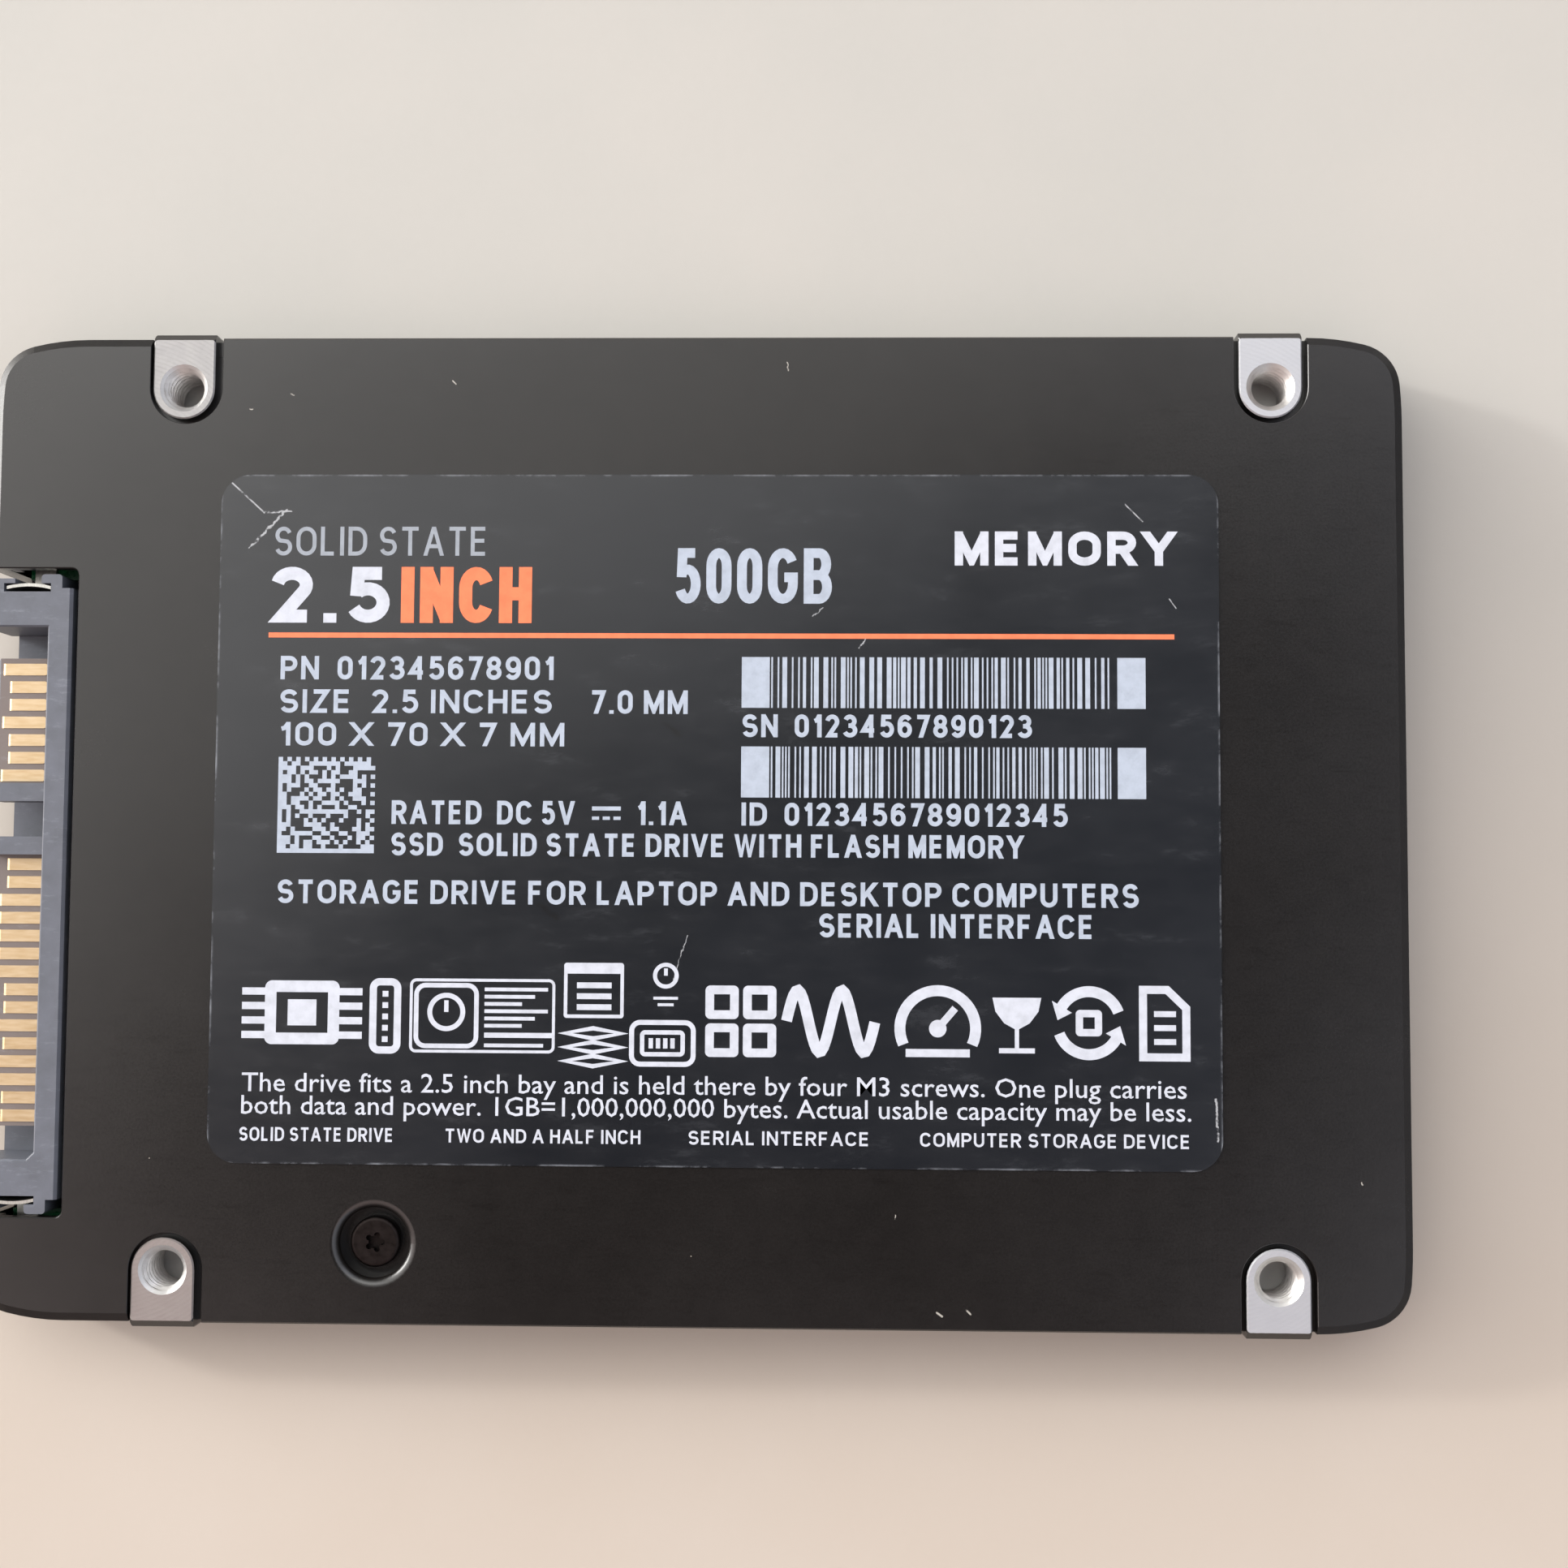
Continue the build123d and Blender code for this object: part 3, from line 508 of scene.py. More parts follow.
def thread_mesh(depth):
    """The inside of an M3 thread along -Z from z = 0, as a closed sleeve with a 45 degree mouth."""
    crest, root, pitch, outer = 1.24 * MM, 1.45 * MM, 0.5 * MM, 1.482 * MM
    # The sleeve starts just inside the metal, under the countersink, so no gap shows.
    mouth, lead_in = 0.19 * MM, 1.53 * MM
    ring_gap = 0.04 * MM
    around, steps = 96, round((depth - mouth) / ring_gap)
    bm = bmesh.new()
    rings = []
    for step in range(steps + 1):
        z = -mouth - (depth - mouth) * step / steps
        ring = []
        for index in range(around):
            angle = 2 * math.pi * index / around
            phase = (z / pitch + index / around) % 1.0
            # The flank rises from a narrow crest to a narrow root, each a tenth of its run.
            flank = min(1.0, max(0.0, 1.25 * abs(2 * phase - 1) - 0.125))
            radius = max(crest + (root - crest) * flank, lead_in + z + mouth)
            ring.append(bm.verts.new((radius * math.cos(angle), radius * math.sin(angle), z)))
        rings.append(ring)
    for radius, z in ((outer, -depth), (outer, -mouth - 0.07 * MM), (lead_in, -mouth - 0.04 * MM)):
        ring = []
        for index in range(around):
            angle = 2 * math.pi * index / around
            ring.append(bm.verts.new((radius * math.cos(angle), radius * math.sin(angle), z)))
        rings.append(ring)
    for first, second in zip(rings, rings[1:] + rings[:1]):
        for index in range(around):
            after = (index + 1) % around
            bm.faces.new((first[index], first[after], second[after], second[index]))
    bmesh.ops.recalc_face_normals(bm, faces=bm.faces[:])
    mesh = bpy.data.meshes.new("thread")
    bm.to_mesh(mesh)
    bm.free()
    return mesh


def add_piece(name, mesh, material):
    """A visible piece of one material, fixed to the drive."""
    piece = bpy.data.objects.new(name, mesh)
    bpy.context.scene.collection.objects.link(piece)
    piece.data.materials.clear()
    piece.data.materials.append(material)
    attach(piece, "root")


def add_threads():
    """A sleeve in each hole, ending just short of the hole's floor."""
    bare = thread_material()
    for index, (mouth, inward, depth) in enumerate(hole_axes()):
        mesh = thread_mesh(depth - 0.05 * MM)
        turn = Vector((0, 0, -1)).rotation_difference(inward).to_matrix().to_4x4()
        mesh.transform(turn)
        for vertex in mesh.vertices:
            vertex.co += mouth
        add_piece(f"hole_thread_{index + 1}", mesh, bare)


add_threads()

# ---------------------------------------------------------------- label print

ink_rise = 0.006 * MM
ink_sink = 0.002 * MM

# Each letter is its width and its strokes, on a skeleton 10 units tall. A stroke is points x,y
# and arcs cx,cy,rx,ry,from,to in degrees; ends past 0 and 10 are cut off level.
letters = {
    "A": (7.4, "-0.7,-3 3.7,10.8 8.1,-3 | 1.2,3 6.2,3"),
    "B": (6.2, "0,0 0,10 3.6,10 3.6,7.6,2.3,2.4,90,-90 0,5.2 | 1,5.2 3.5,5.2 3.5,2.6,2.7,2.6,90,-90 0,0 0,3"),
    "C": (6.8, "3.4,6.7,3.4,3.3,20,180 3.4,3.3,3.4,3.3,180,340"),
    "D": (6.6, "0,0 0,10 2.8,10 2.8,6.2,3.8,3.8,90,0 2.8,3.8,3.8,3.8,0,-90 0,0 0,5"),
    "E": (5.5, "5.5,10 0,10 0,0 5.5,0 | 0,5.2 5.1,5.2"),
    "F": (5.3, "5.3,10 0,10 0,-3 | 0,5 4.7,5"),
    "G": (6.9, "3.4,6.7,3.4,3.3,25,180 3.4,3.3,3.4,3.3,180,360 6.8,4.7 3.9,4.7"),
    "H": (6.3, "0,-3 0,13 | 6.3,-3 6.3,13 | 0,5.3 6.3,5.3"),
    "I": (0.0, "0,-3 0,13"),
    "K": (6.5, "0,-3 0,13 | 7.9,13 0,3.2 | 2.3,5.9 8,-3"),
    "L": (5.0, "0,13 0,0 5,0"),
    "M": (7.6, "0,-3 0,13 | 7.6,-3 7.6,13 | 0,10.6 3.8,0.4 7.6,10.6"),
    "N": (6.5, "0,-3 0,13 | 6.5,-3 6.5,13 | 0,10.6 6.5,-0.6"),
    "O": (7.2, "3.6,6.5,3.6,3.5,0,180 3.6,3.5,3.6,3.5,180,360 7.2,6.5 3.6,6.5,3.6,3.5,0,30"),
    "P": (6.0, "0,-3 0,10 3.3,10 3.3,7.2,2.7,2.8,90,-90 0,4.4"),
    "R": (6.3, "0,-3 0,10 3.4,10 3.4,7.3,2.7,2.7,90,-90 0,4.6 | 3.1,4.8 7.2,-3"),
    "S": (6.0, "3,7.4,2.8,2.6,20,235 3.05,2.65,2.95,2.65,55,-160"),
    "T": (6.3, "-0.5,10 6.8,10 | 3.15,-3 3.15,10"),
    "U": (6.3, "0,13 0,3.2 3.15,3.2,3.15,3.2,180,360 6.3,13"),
    "V": (7.0, "-0.7,13 3.5,-0.9 7.7,13"),
    "W": (9.8, "-0.6,13 2.5,-0.9 4.9,10.9 7.3,-0.9 10.4,13"),
    "X": (6.7, "-1.7,-3 8.4,13 | -1.7,13 8.4,-3"),
    "Y": (6.8, "-1.5,13 3.4,4.3 8.3,13 | 3.4,-3 3.4,4.5"),
    "Z": (5.8, "0,10 5.6,10 0.1,0 5.9,0"),
    "0": (5.2, "2.6,7.2,2.6,2.8,0,180 2.6,2.8,2.6,2.8,180,360 5.2,7.2 2.6,7.2,2.6,2.8,0,30"),
    "1": (2.6, "0,7.6 1.2,8.1 2.6,10.6 | 2.6,-3 2.6,13"),
    "2": (5.3, "2.6,7.3,2.6,2.7,170,-40 0.9,0 5.4,0"),
    "3": (5.3, "2.5,7.6,2.4,2.4,160,-90 1.7,5.2 | 1.7,5.2 2.5,5.2 2.5,2.6,2.8,2.6,90,-160"),
    "4": (5.8, "4.3,-3 4.3,13 | 4.3,10.2 0.1,2.6 5.9,2.6"),
    "5": (5.3, "5,10 0.8,10 0.5,4.7 | 2.55,3.2,2.75,3.2,128,-155"),
    "6": (5.3, "2.65,3.1,2.65,3.1,0,390 | 2.9,6.3,2.9,3.7,35,180 0,3.1"),
    "7": (5.2, "-0.3,10 5.2,10 1.05,-3"),
    "8": (5.3, "2.65,7.6,2.3,2.4,0,390 | 2.65,2.6,2.65,2.6,0,390"),
    "9": (5.3, "2.65,6.9,2.65,3.1,0,390 | 5.3,6.9 2.4,3.7,2.9,3.7,0,-145"),
    ".": (0.0, "0,-3 0,0.7"),
}
letter_gap = 1.9
word_gap = 3.6


def stroke_points(text, step=15):
    """The points of one stroke of a letter, its arcs divided every few degrees."""
    points = []
    for token in text.split():
        values = [float(value) for value in token.split(",")]
        if len(values) == 2:
            points.append(tuple(values))
            continue
        cx, cy, rx, ry, start, end = values
        count = max(2, round(abs(end - start) / step))
        for index in range(count + 1):
            angle = math.radians(start + (end - start) * index / count)
            points.append((cx + rx * math.cos(angle), cy + ry * math.sin(angle)))
    return points


def turned_left(a, b, c):
    """Twice the area of a triangle, positive when its corners run anticlockwise."""
    return (b[0] - a[0]) * (c[1] - a[1]) - (b[1] - a[1]) * (c[0] - a[0])


class Ink:
    """Flat shapes of one colour, gathered in millimetres and raised into a thin closed layer."""

    def __init__(self):
        self.bm = bmesh.new()
        self.waiting = []

    def polygon(self, points):
        """A filled outline that overlaps nothing else."""
        verts = [self.bm.verts.new((x * MM, y * MM, 0)) for x, y in points]
        self.bm.faces.new(verts)

    def bar(self, left, right, low, high):
        self.polygon([(left, low), (right, low), (right, high), (left, high)])

    def overlap(self, points):
        """A convex outline that may overlap others; merge() joins them."""
        for index in range(1, len(points) - 1):
            corners = [points[0], points[index], points[index + 1]]
            area = turned_left(*corners)
            if abs(area) > 1e-6:
                self.waiting.append(corners if area > 0 else corners[::-1])

    def merge(self, low=None, high=None):
        """Joins the overlapping outlines, cut off level at low and high where they are given."""
        outlines = list(self.waiting)
        self.waiting = []
        if low is not None:
            ends = [x for outline in outlines for x, y in outline]
            left, right = min(ends) - 1, max(ends) + 1
            outlines.insert(0, [(left, low), (right, low), (right, high), (left, high)])
        points, faces = [], []
        for outline in outlines:
            faces.append(list(range(len(points), len(points) + len(outline))))
            points.extend(Vector(point) for point in outline)
        made = delaunay_2d_cdt(points, [], faces, 0, 1e-5, True)
        places, triangles, owners = made[0], made[2], made[5]
        verts = {}
        for triangle, owner in zip(triangles, owners):
            inside = len(owner) > 0 if low is None else 0 in owner and len(owner) > 1
            if not inside:
                continue
            corners = []
            for index in triangle:
                if index not in verts:
                    place = places[index]
                    verts[index] = self.bm.verts.new((place.x * MM, place.y * MM, 0))
                corners.append(verts[index])
            self.bm.faces.new(corners)

    def stroke(self, points, width):
        """A line of that width through points, with square ends and mitred turns."""
        points = [Vector(point) for point in points]
        kept = [points[0]]
        for point in points[1:]:
            if (point - kept[-1]).length > 0.02 * width:
                kept.append(point)
        closed = (kept[0] - kept[-1]).length < 0.02 * width and len(kept) > 3
        if closed:
            kept.pop()
        count = len(kept)
        sides = []
        for index, here in enumerate(kept):
            before = kept[index - 1] if index > 0 or closed else None
            after = kept[(index + 1) % count] if index < count - 1 or closed else None
            first = (here - before).normalized() if before is not None else None
            second = (after - here).normalized() if after is not None else None
            first = first or second
            second = second or first
            heading = (first + second).normalized()
            reach = width / 2 / max(0.30, heading.dot(first))
            side = Vector((-heading.y, heading.x)) * reach
            sides.append((here + side, here - side))
        for index in range(count if closed else count - 1):
            one, two = sides[index], sides[(index + 1) % count]
            self.overlap([tuple(one[1]), tuple(two[1]), tuple(two[0]), tuple(one[0])])

    def arc(self, x, y, radius, start, end, width, steps=32):
        """A curved line about (x, y), from start to end degrees."""
        turns = [math.radians(start + (end - start) * step / steps) for step in range(steps + 1)]
        self.stroke([(x + radius * math.cos(t), y + radius * math.sin(t)) for t in turns], width)

    def ring(self, x, y, radius, width):
        self.arc(x, y, radius, 0, 360, width, 48)

    def disc(self, x, y, radius, steps=28):
        turns = [2 * math.pi * step / steps for step in range(steps)]
        self.overlap([(x + radius * math.cos(t), y + radius * math.sin(t)) for t in turns])

    def block(self, left, right, low, high):
        self.overlap([(left, low), (right, low), (right, high), (left, high)])

    def rounded(self, left, right, low, high, radius, steps=6):
        """The outline of a rectangle with rounded corners."""
        points = []
        corners = ((right, high, 0), (left, high, 90), (left, low, 180), (right, low, 270))
        for x, y, start in corners:
            cx = x - radius if x == right else x + radius
            cy = y - radius if y == high else y + radius
            for step in range(steps + 1):
                angle = math.radians(start + 90 * step / steps)
                points.append((cx + radius * math.cos(angle), cy + radius * math.sin(angle)))
        return points

    def frame(self, left, right, low, high, radius, width):
        """A rounded rectangle drawn as a line."""
        half = width / 2
        path = self.rounded(left + half, right - half, low + half, high - half, max(0.02, radius - half))
        self.stroke(path + path[:1], width)

    def capitals(self, text, left, right, low, high, weight):
        """Capitals and figures of even line weight, fitted between four limits."""
        glyphs = [letters[mark] for mark in text if mark != " "]
        gaps = sum(word_gap if mark == " " else letter_gap for mark in text[:-1])
        widths = sum(glyph[0] for glyph in glyphs)
        unit = (right - left - len(glyphs) * weight) / (widths + gaps)
        tall = (high - low - weight) / 10
        x = left + weight / 2
        for mark in text:
            if mark == " ":
                x += word_gap * unit
                continue
            width, strokes = letters[mark]
            for part in strokes.split("|"):
                points = [(x + px * unit, low + weight / 2 + py * tall) for px, py in stroke_points(part)]
                self.stroke(points, weight)
            x += width * unit + letter_gap * unit + weight
        self.merge(low, high)

    def small_text(self, text, left, right, low, high):
        """Upper and lower case text in the built-in font, fitted between its ends, foot and cap height."""
        weight = 0.004
        curve = bpy.data.curves.new("lettering", "FONT")
        curve.body = text
        curve.offset = weight
        curve.resolution_u = 2
        holder = bpy.data.objects.new("lettering", curve)
        bpy.context.scene.collection.objects.link(holder)
        bpy.context.view_layer.update()
        evaluated = holder.evaluated_get(bpy.context.evaluated_depsgraph_get())
        mesh = bpy.data.meshes.new_from_object(evaluated)
        cap = max(vertex.co.y for vertex in mesh.vertices)
        ends = [vertex.co.x for vertex in mesh.vertices]
        first, last = min(ends), max(ends)
        scale_x = (right - left) / (last - first)
        scale_y = (high - low) / (cap + weight)
        for vertex in mesh.vertices:
            x = left + (vertex.co.x - first) * scale_x
            y = low + (vertex.co.y + weight) * scale_y
            vertex.co = (x * MM, y * MM, 0)
        self.bm.from_mesh(mesh)
        bpy.data.objects.remove(holder)
        bpy.data.curves.remove(curve)
        bpy.data.meshes.remove(mesh)

    def piece(self, name, material):
        """Raises everything drawn into one closed layer on the label."""
        bm = self.bm
        bmesh.ops.remove_doubles(bm, verts=bm.verts[:], dist=0.0002 * MM)
        bmesh.ops.dissolve_degenerate(bm, dist=0.0002 * MM, edges=bm.edges[:])
        for face in bm.faces:
            face.smooth = False
            face.normal_update()
            if face.normal.z > 0:
                face.normal_flip()
        made = bmesh.ops.extrude_face_region(bm, geom=bm.faces[:], use_keep_orig=True)
        raised = [item for item in made["geom"] if isinstance(item, bmesh.types.BMVert)]
        for vertex in raised:
            vertex.co.z = ink_rise + ink_sink
        for vertex in bm.verts:
            vertex.co.z += label_top - ink_sink
        bmesh.ops.recalc_face_normals(bm, faces=bm.faces[:])
        mesh = bpy.data.meshes.new(name)
        bm.to_mesh(mesh)
        bm.free()
        add_piece(name, mesh, material)


def barcode(ink, left, right, low, high, seed):
    """A made-up bar code: a solid block at each end and random bars between."""
    chance = random.Random(seed)
    block = 1.95
    unit = 0.11
    ink.bar(left, left + block, low, high)
    ink.bar(right - block, right, low, high)
    x = left + block + unit
    while x < right - block - 4 * unit:
        wide = unit * chance.choice((1, 1, 2, 3))
        gap = unit * chance.choice((1, 1, 2, 2, 3))
        if x + wide > right - block - unit:
            break
        ink.bar(x, x + wide, low, high)
        x += wide + gap


def code_cell(chance, row, column, cells):
    """Whether one cell of the square code is printed; every call draws once."""
    filled = chance.random() < 0.52
    if row == 0 or column == 0:
        return True
    if row == cells - 1:
        return column % 2 == 0
    if column == cells - 1:
        return row % 2 == 1
    return filled


def block_code(ink, left, right, low, high, seed):
    """A made-up square code: solid left and lower edges, dashed others, random cells inside."""
    chance = random.Random(seed)
    cells = 22
    wide, tall = (right - left) / cells, (high - low) / cells
    for row in range(cells):
        column = 0
        while column < cells:
            run = 0
            while column + run < cells and code_cell(chance, row, column + run, cells):
                run += 1
            if run:
                x = left + column * wide
                y = low + row * tall
                ink.bar(x, x + run * wide, y, y + 1.001 * tall)
            column += run + 1


def print_text(white, pale, grey, orange):
    """Every line of lettering: plain words for what a drive is, and counting figures."""
    grey.capitals("SOLID STATE", -29.2, -14.2, 18.85, 20.9, 0.28)
    white.capitals("2.5", -29.4, -21.0, 14.1, 18.05, 0.92)
    orange.capitals("INCH", -20.2, -11.0, 14.1, 18.05, 0.92)
    pale.capitals("500GB", -0.95, 10.0, 15.5, 19.4, 0.68)
    white.capitals("MEMORY", 18.55, 33.8, 18.2, 20.6, 0.58)
    orange.bar(-29.5, 33.75, 13.05, 13.4)
    lines = [
        ("PN  012345678901", -28.6, -9.4, 10.1, 11.75),
        ("SIZE  2.5 INCHES", -28.6, -9.5, 7.75, 9.4),
        ("7.0 MM", -6.8, 0.0, 7.75, 9.4),
        ("100 X 70 X 7 MM", -28.6, -8.6, 5.45, 7.1),
        ("SN  01234567890123", 3.8, 23.9, 6.15, 7.75),
        ("ID  0123456789012345", 3.8, 26.35, 0.0, 1.6),
        ("RATED  DC 5V", -20.6, -7.8, 0.0, 1.65),
        ("1.1A", -3.5, 0.0, 0.0, 1.65),
        ("SSD  SOLID STATE DRIVE WITH FLASH MEMORY", -20.6, 23.3, -2.2, -0.6),
        ("STORAGE DRIVE FOR LAPTOP AND DESKTOP COMPUTERS", -28.5, 31.2, -5.55, -3.9),
        ("SERIAL INTERFACE", 9.2, 28.1, -7.7, -6.05),
    ]
    for text, left, right, low, high in lines:
        pale.capitals(text, left, right, low, high, 0.31)
    first = "The drive fits a 2.5 inch bay and is held there by four M3 screws. One plug carries"
    second = "both data and power. 1GB=1,000,000,000 bytes. Actual usable capacity may be less."
    white.small_text(first, -30.7, 34.4, -18.55, -17.25)
    white.small_text(second, -30.7, 34.7, -20.1, -18.8)
    foot = [
        ("SOLID STATE DRIVE", -30.8, -20.1),
        ("TWO AND A HALF INCH", -16.5, -3.0),
        ("SERIAL INTERFACE", 0.3, 12.7),
        ("COMPUTER STORAGE DEVICE", 16.2, 34.6),
    ]
    for text, left, right in foot:
        white.capitals(text, left, right, -21.95, -21.0, 0.16)
    # The sign for direct current: three dashes under a line.
    for index in range(3):
        pale.bar(-6.6 + 0.75 * index, -6.1 + 0.75 * index, 0.35, 0.58)
    pale.bar(-6.6, -4.6, 1.0, 1.28)


def print_codes(pale):
    """Two bar codes and a square code, all made up."""
    barcode(pale, 3.75, 31.75, 8.2, 11.75, 3)
    barcode(pale, 3.75, 31.75, 1.95, 5.5, 8)
    block_code(pale, -28.6, -21.8, -2.05, 4.65, 5)


def print_pictures(white):
    """A row of plain pictures about the drive and its care."""
    # A memory chip with its legs.
    white.frame(-29.2, -24.0, -15.3, -10.9, 0.5, 0.8)
    white.block(-27.6, -25.6, -14.0, -12.2)
    for index in range(4):
        y = -14.9 + 1.0 * index
        white.block(-30.8, -29.1, y, y + 0.5)
        white.block(-24.1, -22.4, y, y + 0.5)
    # A plug seen end on.
    white.frame(-21.9, -19.7, -15.9, -10.7, 0.7, 0.5)
    for index in range(5):
        white.block(-21.0, -20.6, -15.1 + 0.78 * index, -14.7 + 0.78 * index)
    # A boxed data sheet with ruled lines.
    white.frame(-19.1, -9.0, -15.8, -10.7, 0.45, 0.2)
    white.frame(-18.8, -14.3, -15.5, -11.0, 0.8, 0.32)
    white.ring(-16.55, -13.0, 1.15, 0.34)
    white.block(-16.7, -16.4, -13.0, -12.2)
    for index in range(6):
        short = 0.9 * (index % 3)
        white.block(-13.9, -9.5 - short, -11.55 - 0.5 * index, -11.3 - 0.5 * index)
    white.block(-13.9, -9.2, -14.75, -14.4)
    white.block(-13.9, -9.8, -15.4, -15.15)
    # A bay with a drive in it.
    white.frame(-8.4, -4.25, -13.35, -9.55, 0.2, 0.24)
    white.block(-8.3, -4.35, -10.3, -9.6)
    for index in range(3):
        white.block(-7.5, -5.1, -12.8 + 0.75 * index, -12.4 + 0.75 * index)
    # A small stack of layers.
    for index in range(3):
        y = -16.3 + 0.95 * index
        white.stroke([(-8.3, y), (-6.35, y - 0.35), (-4.4, y), (-6.35, y + 0.35), (-8.3, y)], 0.3)
    # A dial, and a plug in a frame.
    white.ring(-1.35, -10.4, 0.75, 0.28)
    white.block(-1.48, -1.22, -10.4, -9.9)
    white.block(-2.2, -0.5, -12.05, -11.85)
    white.block(-1.9, -0.8, -12.5, -12.3)
    white.frame(-3.85, 0.75, -16.65, -13.45, 0.75, 0.34)
    white.frame(-3.1, 0.0, -15.95, -14.15, 0.35, 0.3)
    for index in range(4):
        white.block(-2.5 + 0.5 * index, -2.2 + 0.5 * index, -15.4, -14.7)
    # Four blocks of data.
    for column in range(2):
        for row in range(2):
            x, y = 1.4 + 2.6 * column, -15.95 + 2.6 * row
            white.frame(x, x + 2.3, y, y + 2.3, 0.35, 0.6)
    # A wave.
    wave = [(7.0 + 0.16 * i, -13.45 + 2.1 * math.sin(i * 0.33)) for i in range(39)]
    white.stroke(wave, 0.75)
    # A gauge.
    white.arc(17.4, -13.9, 2.6, -25, 205, 0.75)
    white.stroke([(17.4, -13.9), (18.6, -12.5)], 0.5)
    white.disc(17.4, -13.9, 0.6)
    white.block(15.2, 19.6, -15.85, -15.3)
    # A drinking glass.
    bowl = [(21.15, -11.75), (24.5, -11.75), (24.3, -12.7), (23.7, -13.5), (22.97, -13.9)]
    white.overlap(bowl + [(22.68, -13.9), (21.95, -13.5), (21.35, -12.7)])
    white.block(22.68, 22.97, -15.4, -13.8)
    white.block(21.6, 24.05, -15.55, -15.2)
    # A ring of two arrows.
    for start in (20, 200):
        white.arc(27.75, -13.45, 2.15, start, start + 130, 0.75)
        tip, root = math.radians(start + 155), math.radians(start + 129)
        points = [(27.75 + 2.15 * math.cos(tip), -13.45 + 2.15 * math.sin(tip))]
        for radius in (2.95, 1.35):
            points.append((27.75 + radius * math.cos(root), -13.45 + radius * math.sin(root)))
        white.overlap(points)
    white.frame(26.85, 28.65, -14.35, -12.55, 0.3, 0.5)
    # A sheet with a folded corner.
    sheet = [(31.45, -15.75), (34.4, -15.75), (34.4, -12.4), (33.1, -11.15), (31.45, -11.15), (31.45, -15.75)]
    white.stroke(sheet, 0.55)
    for index in range(3):
        white.block(32.2, 33.7, -14.9 + 0.95 * index, -14.5 + 0.95 * index)
    white.merge()


def add_label_print():
    """One raised layer for each ink."""
    white, pale, grey, orange = Ink(), Ink(), Ink(), Ink()
    print_text(white, pale, grey, orange)
    print_codes(pale)
    print_pictures(white)
    white.piece("label_print_white", ink_material("ink_white", srgb("b7bbc4")))
    pale.piece("label_print_pale", ink_material("ink_pale", srgb("9fa8b5")))
    grey.piece("label_print_grey", ink_material("ink_grey", srgb("8a9098")))
    orange.piece("label_print_orange", ink_material("ink_orange", srgb("e47249")))


add_label_print()

# ---------------------------------------------------------------- floor, light and camera


def add_floor():
    """A square table top under the drive."""
    half_side = 0.9
    bm = bmesh.new()
    bmesh.ops.create_grid(bm, x_segments=8, y_segments=8, size=half_side)
    mesh = bpy.data.meshes.new("table")
    bm.to_mesh(mesh)
    bm.free()
    table = bpy.data.objects.new("table", mesh)
    table.location = (0, 0, cad_bounds[0][2])
    bpy.context.scene.collection.objects.link(table)
    mesh.materials.append(table_material())


def add_light(name, place, target, size, power, colour, mirrored=True):
    """A rectangular lamp at place, aimed at target; glossy surfaces mirror it or not."""
    data = bpy.data.lights.new(name, "AREA")
    data.shape = "RECTANGLE"
    data.size, data.size_y = size
    data.energy = power
    data.color = colour
    light = bpy.data.objects.new(name, data)
    light.location = place
    aim = Vector(target) - Vector(place)
    light.rotation_euler = aim.to_track_quat("-Z", "Y").to_euler()
    light.visible_glossy = mirrored
    bpy.context.scene.collection.objects.link(light)


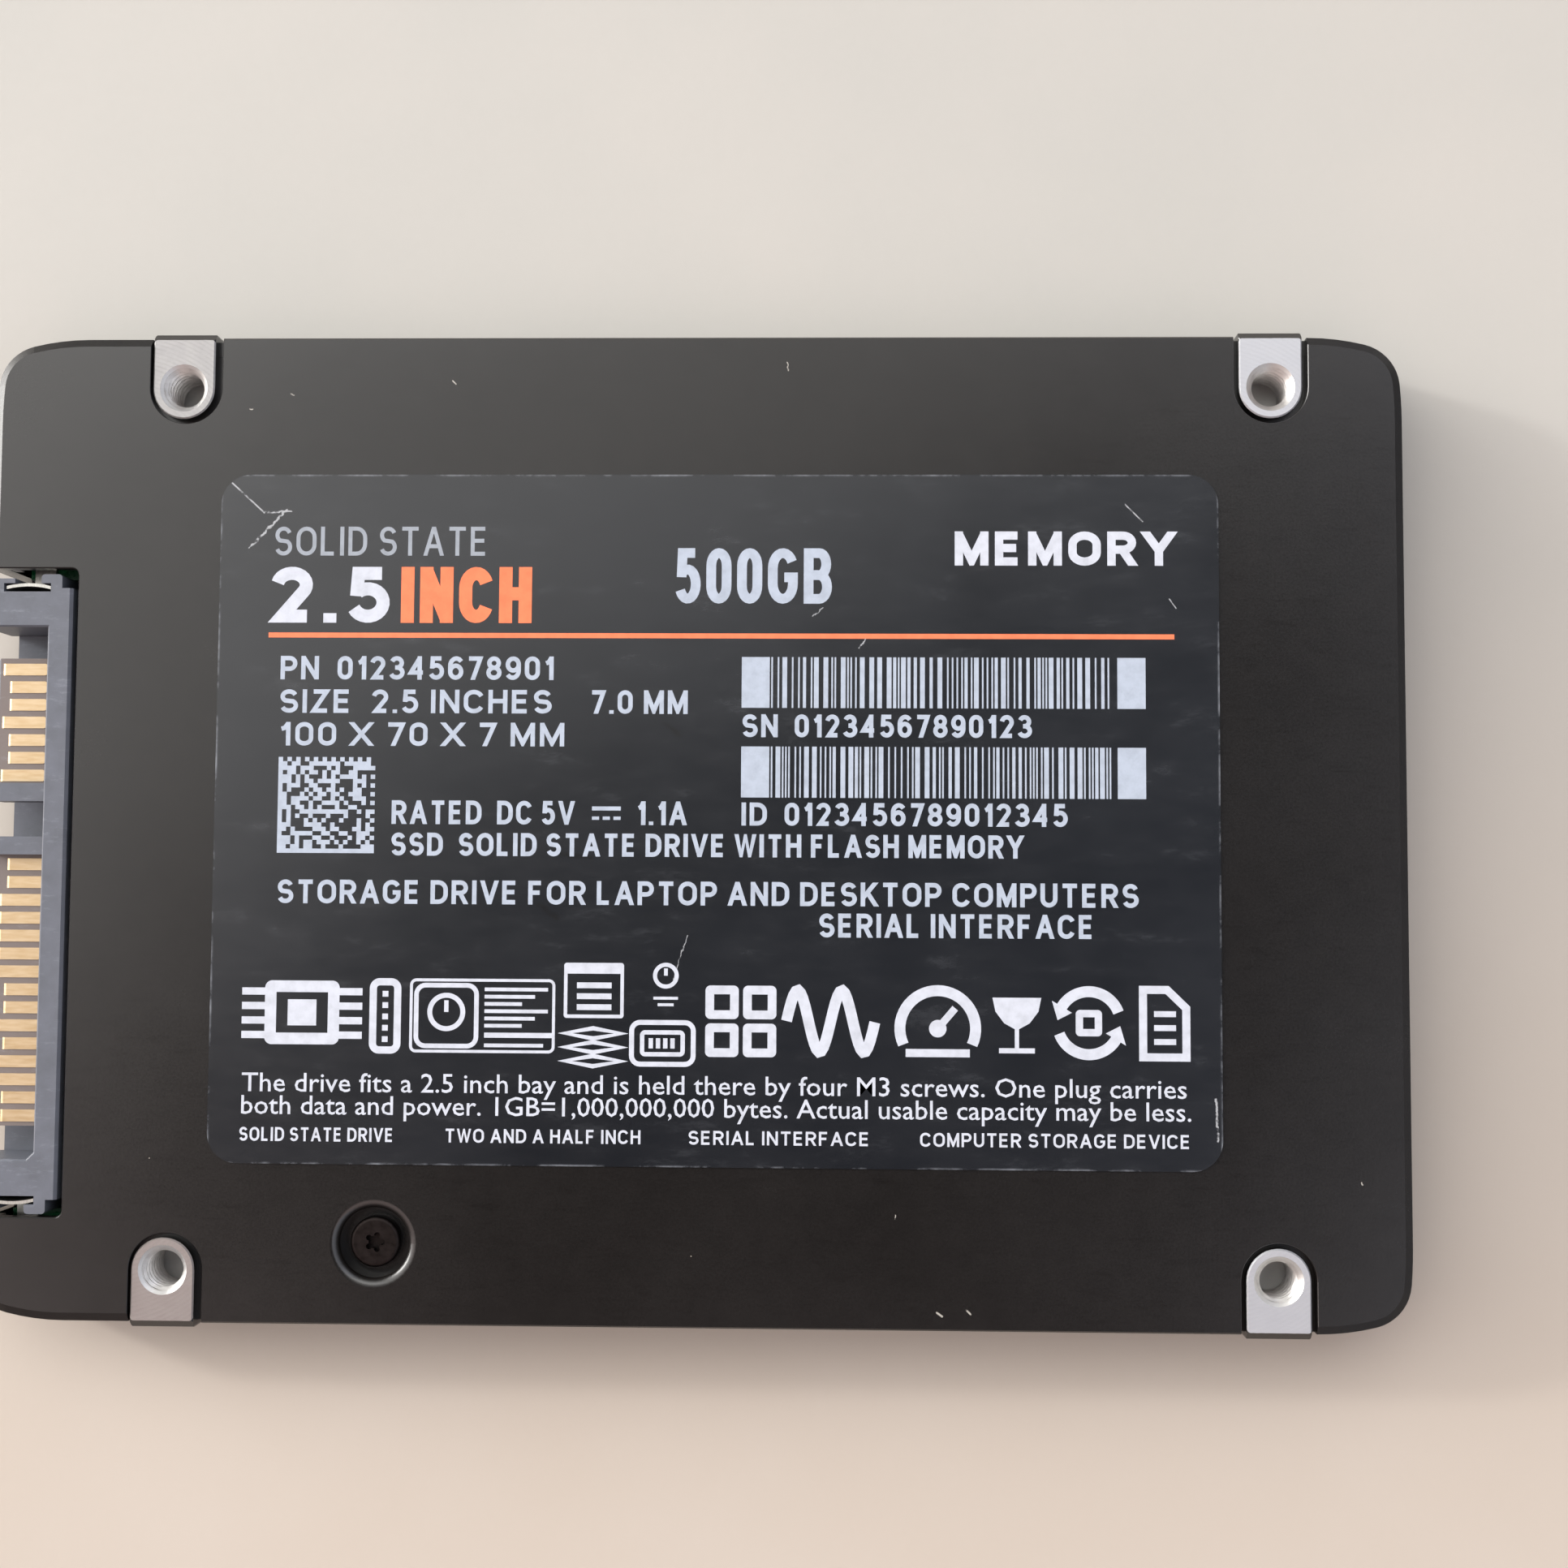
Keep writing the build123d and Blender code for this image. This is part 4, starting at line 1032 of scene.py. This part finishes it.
def add_room():
    """Soft light from all round, dim straight above, with a window low down at one side."""
    world = bpy.data.worlds.new("room")
    world.use_nodes = True
    bpy.context.scene.world = world
    tree = world.node_tree
    background = tree.nodes["Background"]

    def node(kind, *sources, **settings):
        made = tree.nodes.new(kind)
        for name, value in settings.items():
            setattr(made, name, value)
        for socket, source in zip(made.inputs, sources):
            if isinstance(source, (int, float)):
                socket.default_value = source
            elif source is not None:
                tree.links.new(source, socket)
        return made.outputs[0]

    def maths(operation, first, second=0.0):
        return node("ShaderNodeMath", first, second, operation=operation)

    def rise(value, low, high, top):
        """0 below low, rising smoothly to top at high."""
        made = tree.nodes.new("ShaderNodeMapRange")
        made.interpolation_type = "SMOOTHSTEP"
        made.inputs["From Min"].default_value = low
        made.inputs["From Max"].default_value = high
        made.inputs["To Max"].default_value = top
        tree.links.new(value, made.inputs["Value"])
        return made.outputs["Result"]

    def blend(share, first, second):
        mixer = tree.nodes.new("ShaderNodeMix")
        mixer.data_type = "RGBA"
        sockets = [socket for socket in mixer.inputs if socket.enabled]
        for socket, source in zip(sockets, (share, first, second)):
            if isinstance(source, tuple):
                socket.default_value = source
            else:
                tree.links.new(source, socket)
        return [socket for socket in mixer.outputs if socket.enabled][0]

    direction = tree.nodes.new("ShaderNodeTexCoord").outputs["Generated"]
    split = tree.nodes.new("ShaderNodeSeparateXYZ")
    tree.links.new(direction, split.inputs[0])
    x, y, z = split.outputs

    def facing(*weights):
        """How nearly the direction agrees with one whose components are weights."""
        parts = [maths("MULTIPLY", part, weight) for part, weight in zip((x, y, z), weights)]
        return maths("ADD", parts[0], maths("ADD", parts[1], parts[2]))

    # A dim disc overhead, with even light round it and more beyond one slanting line.
    off_x = maths("ADD", x, 0.034)
    off_y = maths("SUBTRACT", y, 0.014)
    away = maths("SQRT", maths("ADD", maths("MULTIPLY", off_x, off_x), maths("MULTIPLY", off_y, off_y)))
    around = rise(away, 0.33, 0.46, 1.45)
    back = rise(facing(-0.50, 0.87, 0.0), 0.13, 0.19, 1.15)
    level = maths("MULTIPLY", maths("ADD", around, back), rise(z, -0.10, 0.90, 1.0))
    # The window: a soft glow with a bright middle.
    window = facing(-0.93, 0.33, 0.16)
    level = maths("ADD", level, rise(window, 0.76, 0.97, 3.6))
    level = maths("ADD", level, rise(window, 0.93, 0.99, 13.0))
    warm, mild, cool = (1.0, 0.79, 0.75, 1.0), (1.0, 0.98, 0.95, 1.0), (0.94, 0.96, 1.06, 1.0)
    colour = blend(rise(y, -0.35, 0.10, 1.0), warm, mild)
    colour = blend(rise(x, 0.10, 0.40, 1.0), colour, cool)
    # Seen directly, past the table's edge, the room is a plain pale grey.
    seen = tree.nodes.new("ShaderNodeLightPath").outputs["Is Camera Ray"]
    colour = blend(seen, colour, (0.80, 0.79, 0.77, 1.0))
    level = maths("ADD", level, maths("MULTIPLY", seen, maths("SUBTRACT", 1.0, level)))
    tree.links.new(colour, background.inputs["Color"])
    tree.links.new(level, background.inputs["Strength"])


def add_lights():
    """The room, a lamp in the window that casts the shadow, and a weak fill lamp."""
    add_room()
    add_light("window", (-0.773, 0.281, 0.366), (0, 0, 0), (0.07, 0.07), 3.7, (1.0, 0.99, 0.98), False)
    add_light("side_lamp", (-0.08, 0.26, 0.32), (0, 0.02, 0), (0.3, 0.2), 0.2, (0.97, 0.99, 1.0))


def add_camera():
    """Almost straight above the drive, about 140 mm up."""
    data = bpy.data.cameras.new("camera")
    data.sensor_width = 36.0
    data.lens = 44.72
    data.clip_start = 0.005
    camera = bpy.data.objects.new("camera", data)
    camera.location = (10.199 * MM, -5.225 * MM, 141.645 * MM)
    camera.rotation_euler = [math.radians(angle) for angle in (3.4539, 1.4517, 0.3256)]
    bpy.context.scene.collection.objects.link(camera)
    bpy.context.scene.camera = camera


add_floor()
add_lights()
add_camera()
bpy.context.scene.view_settings.view_transform = "Standard"
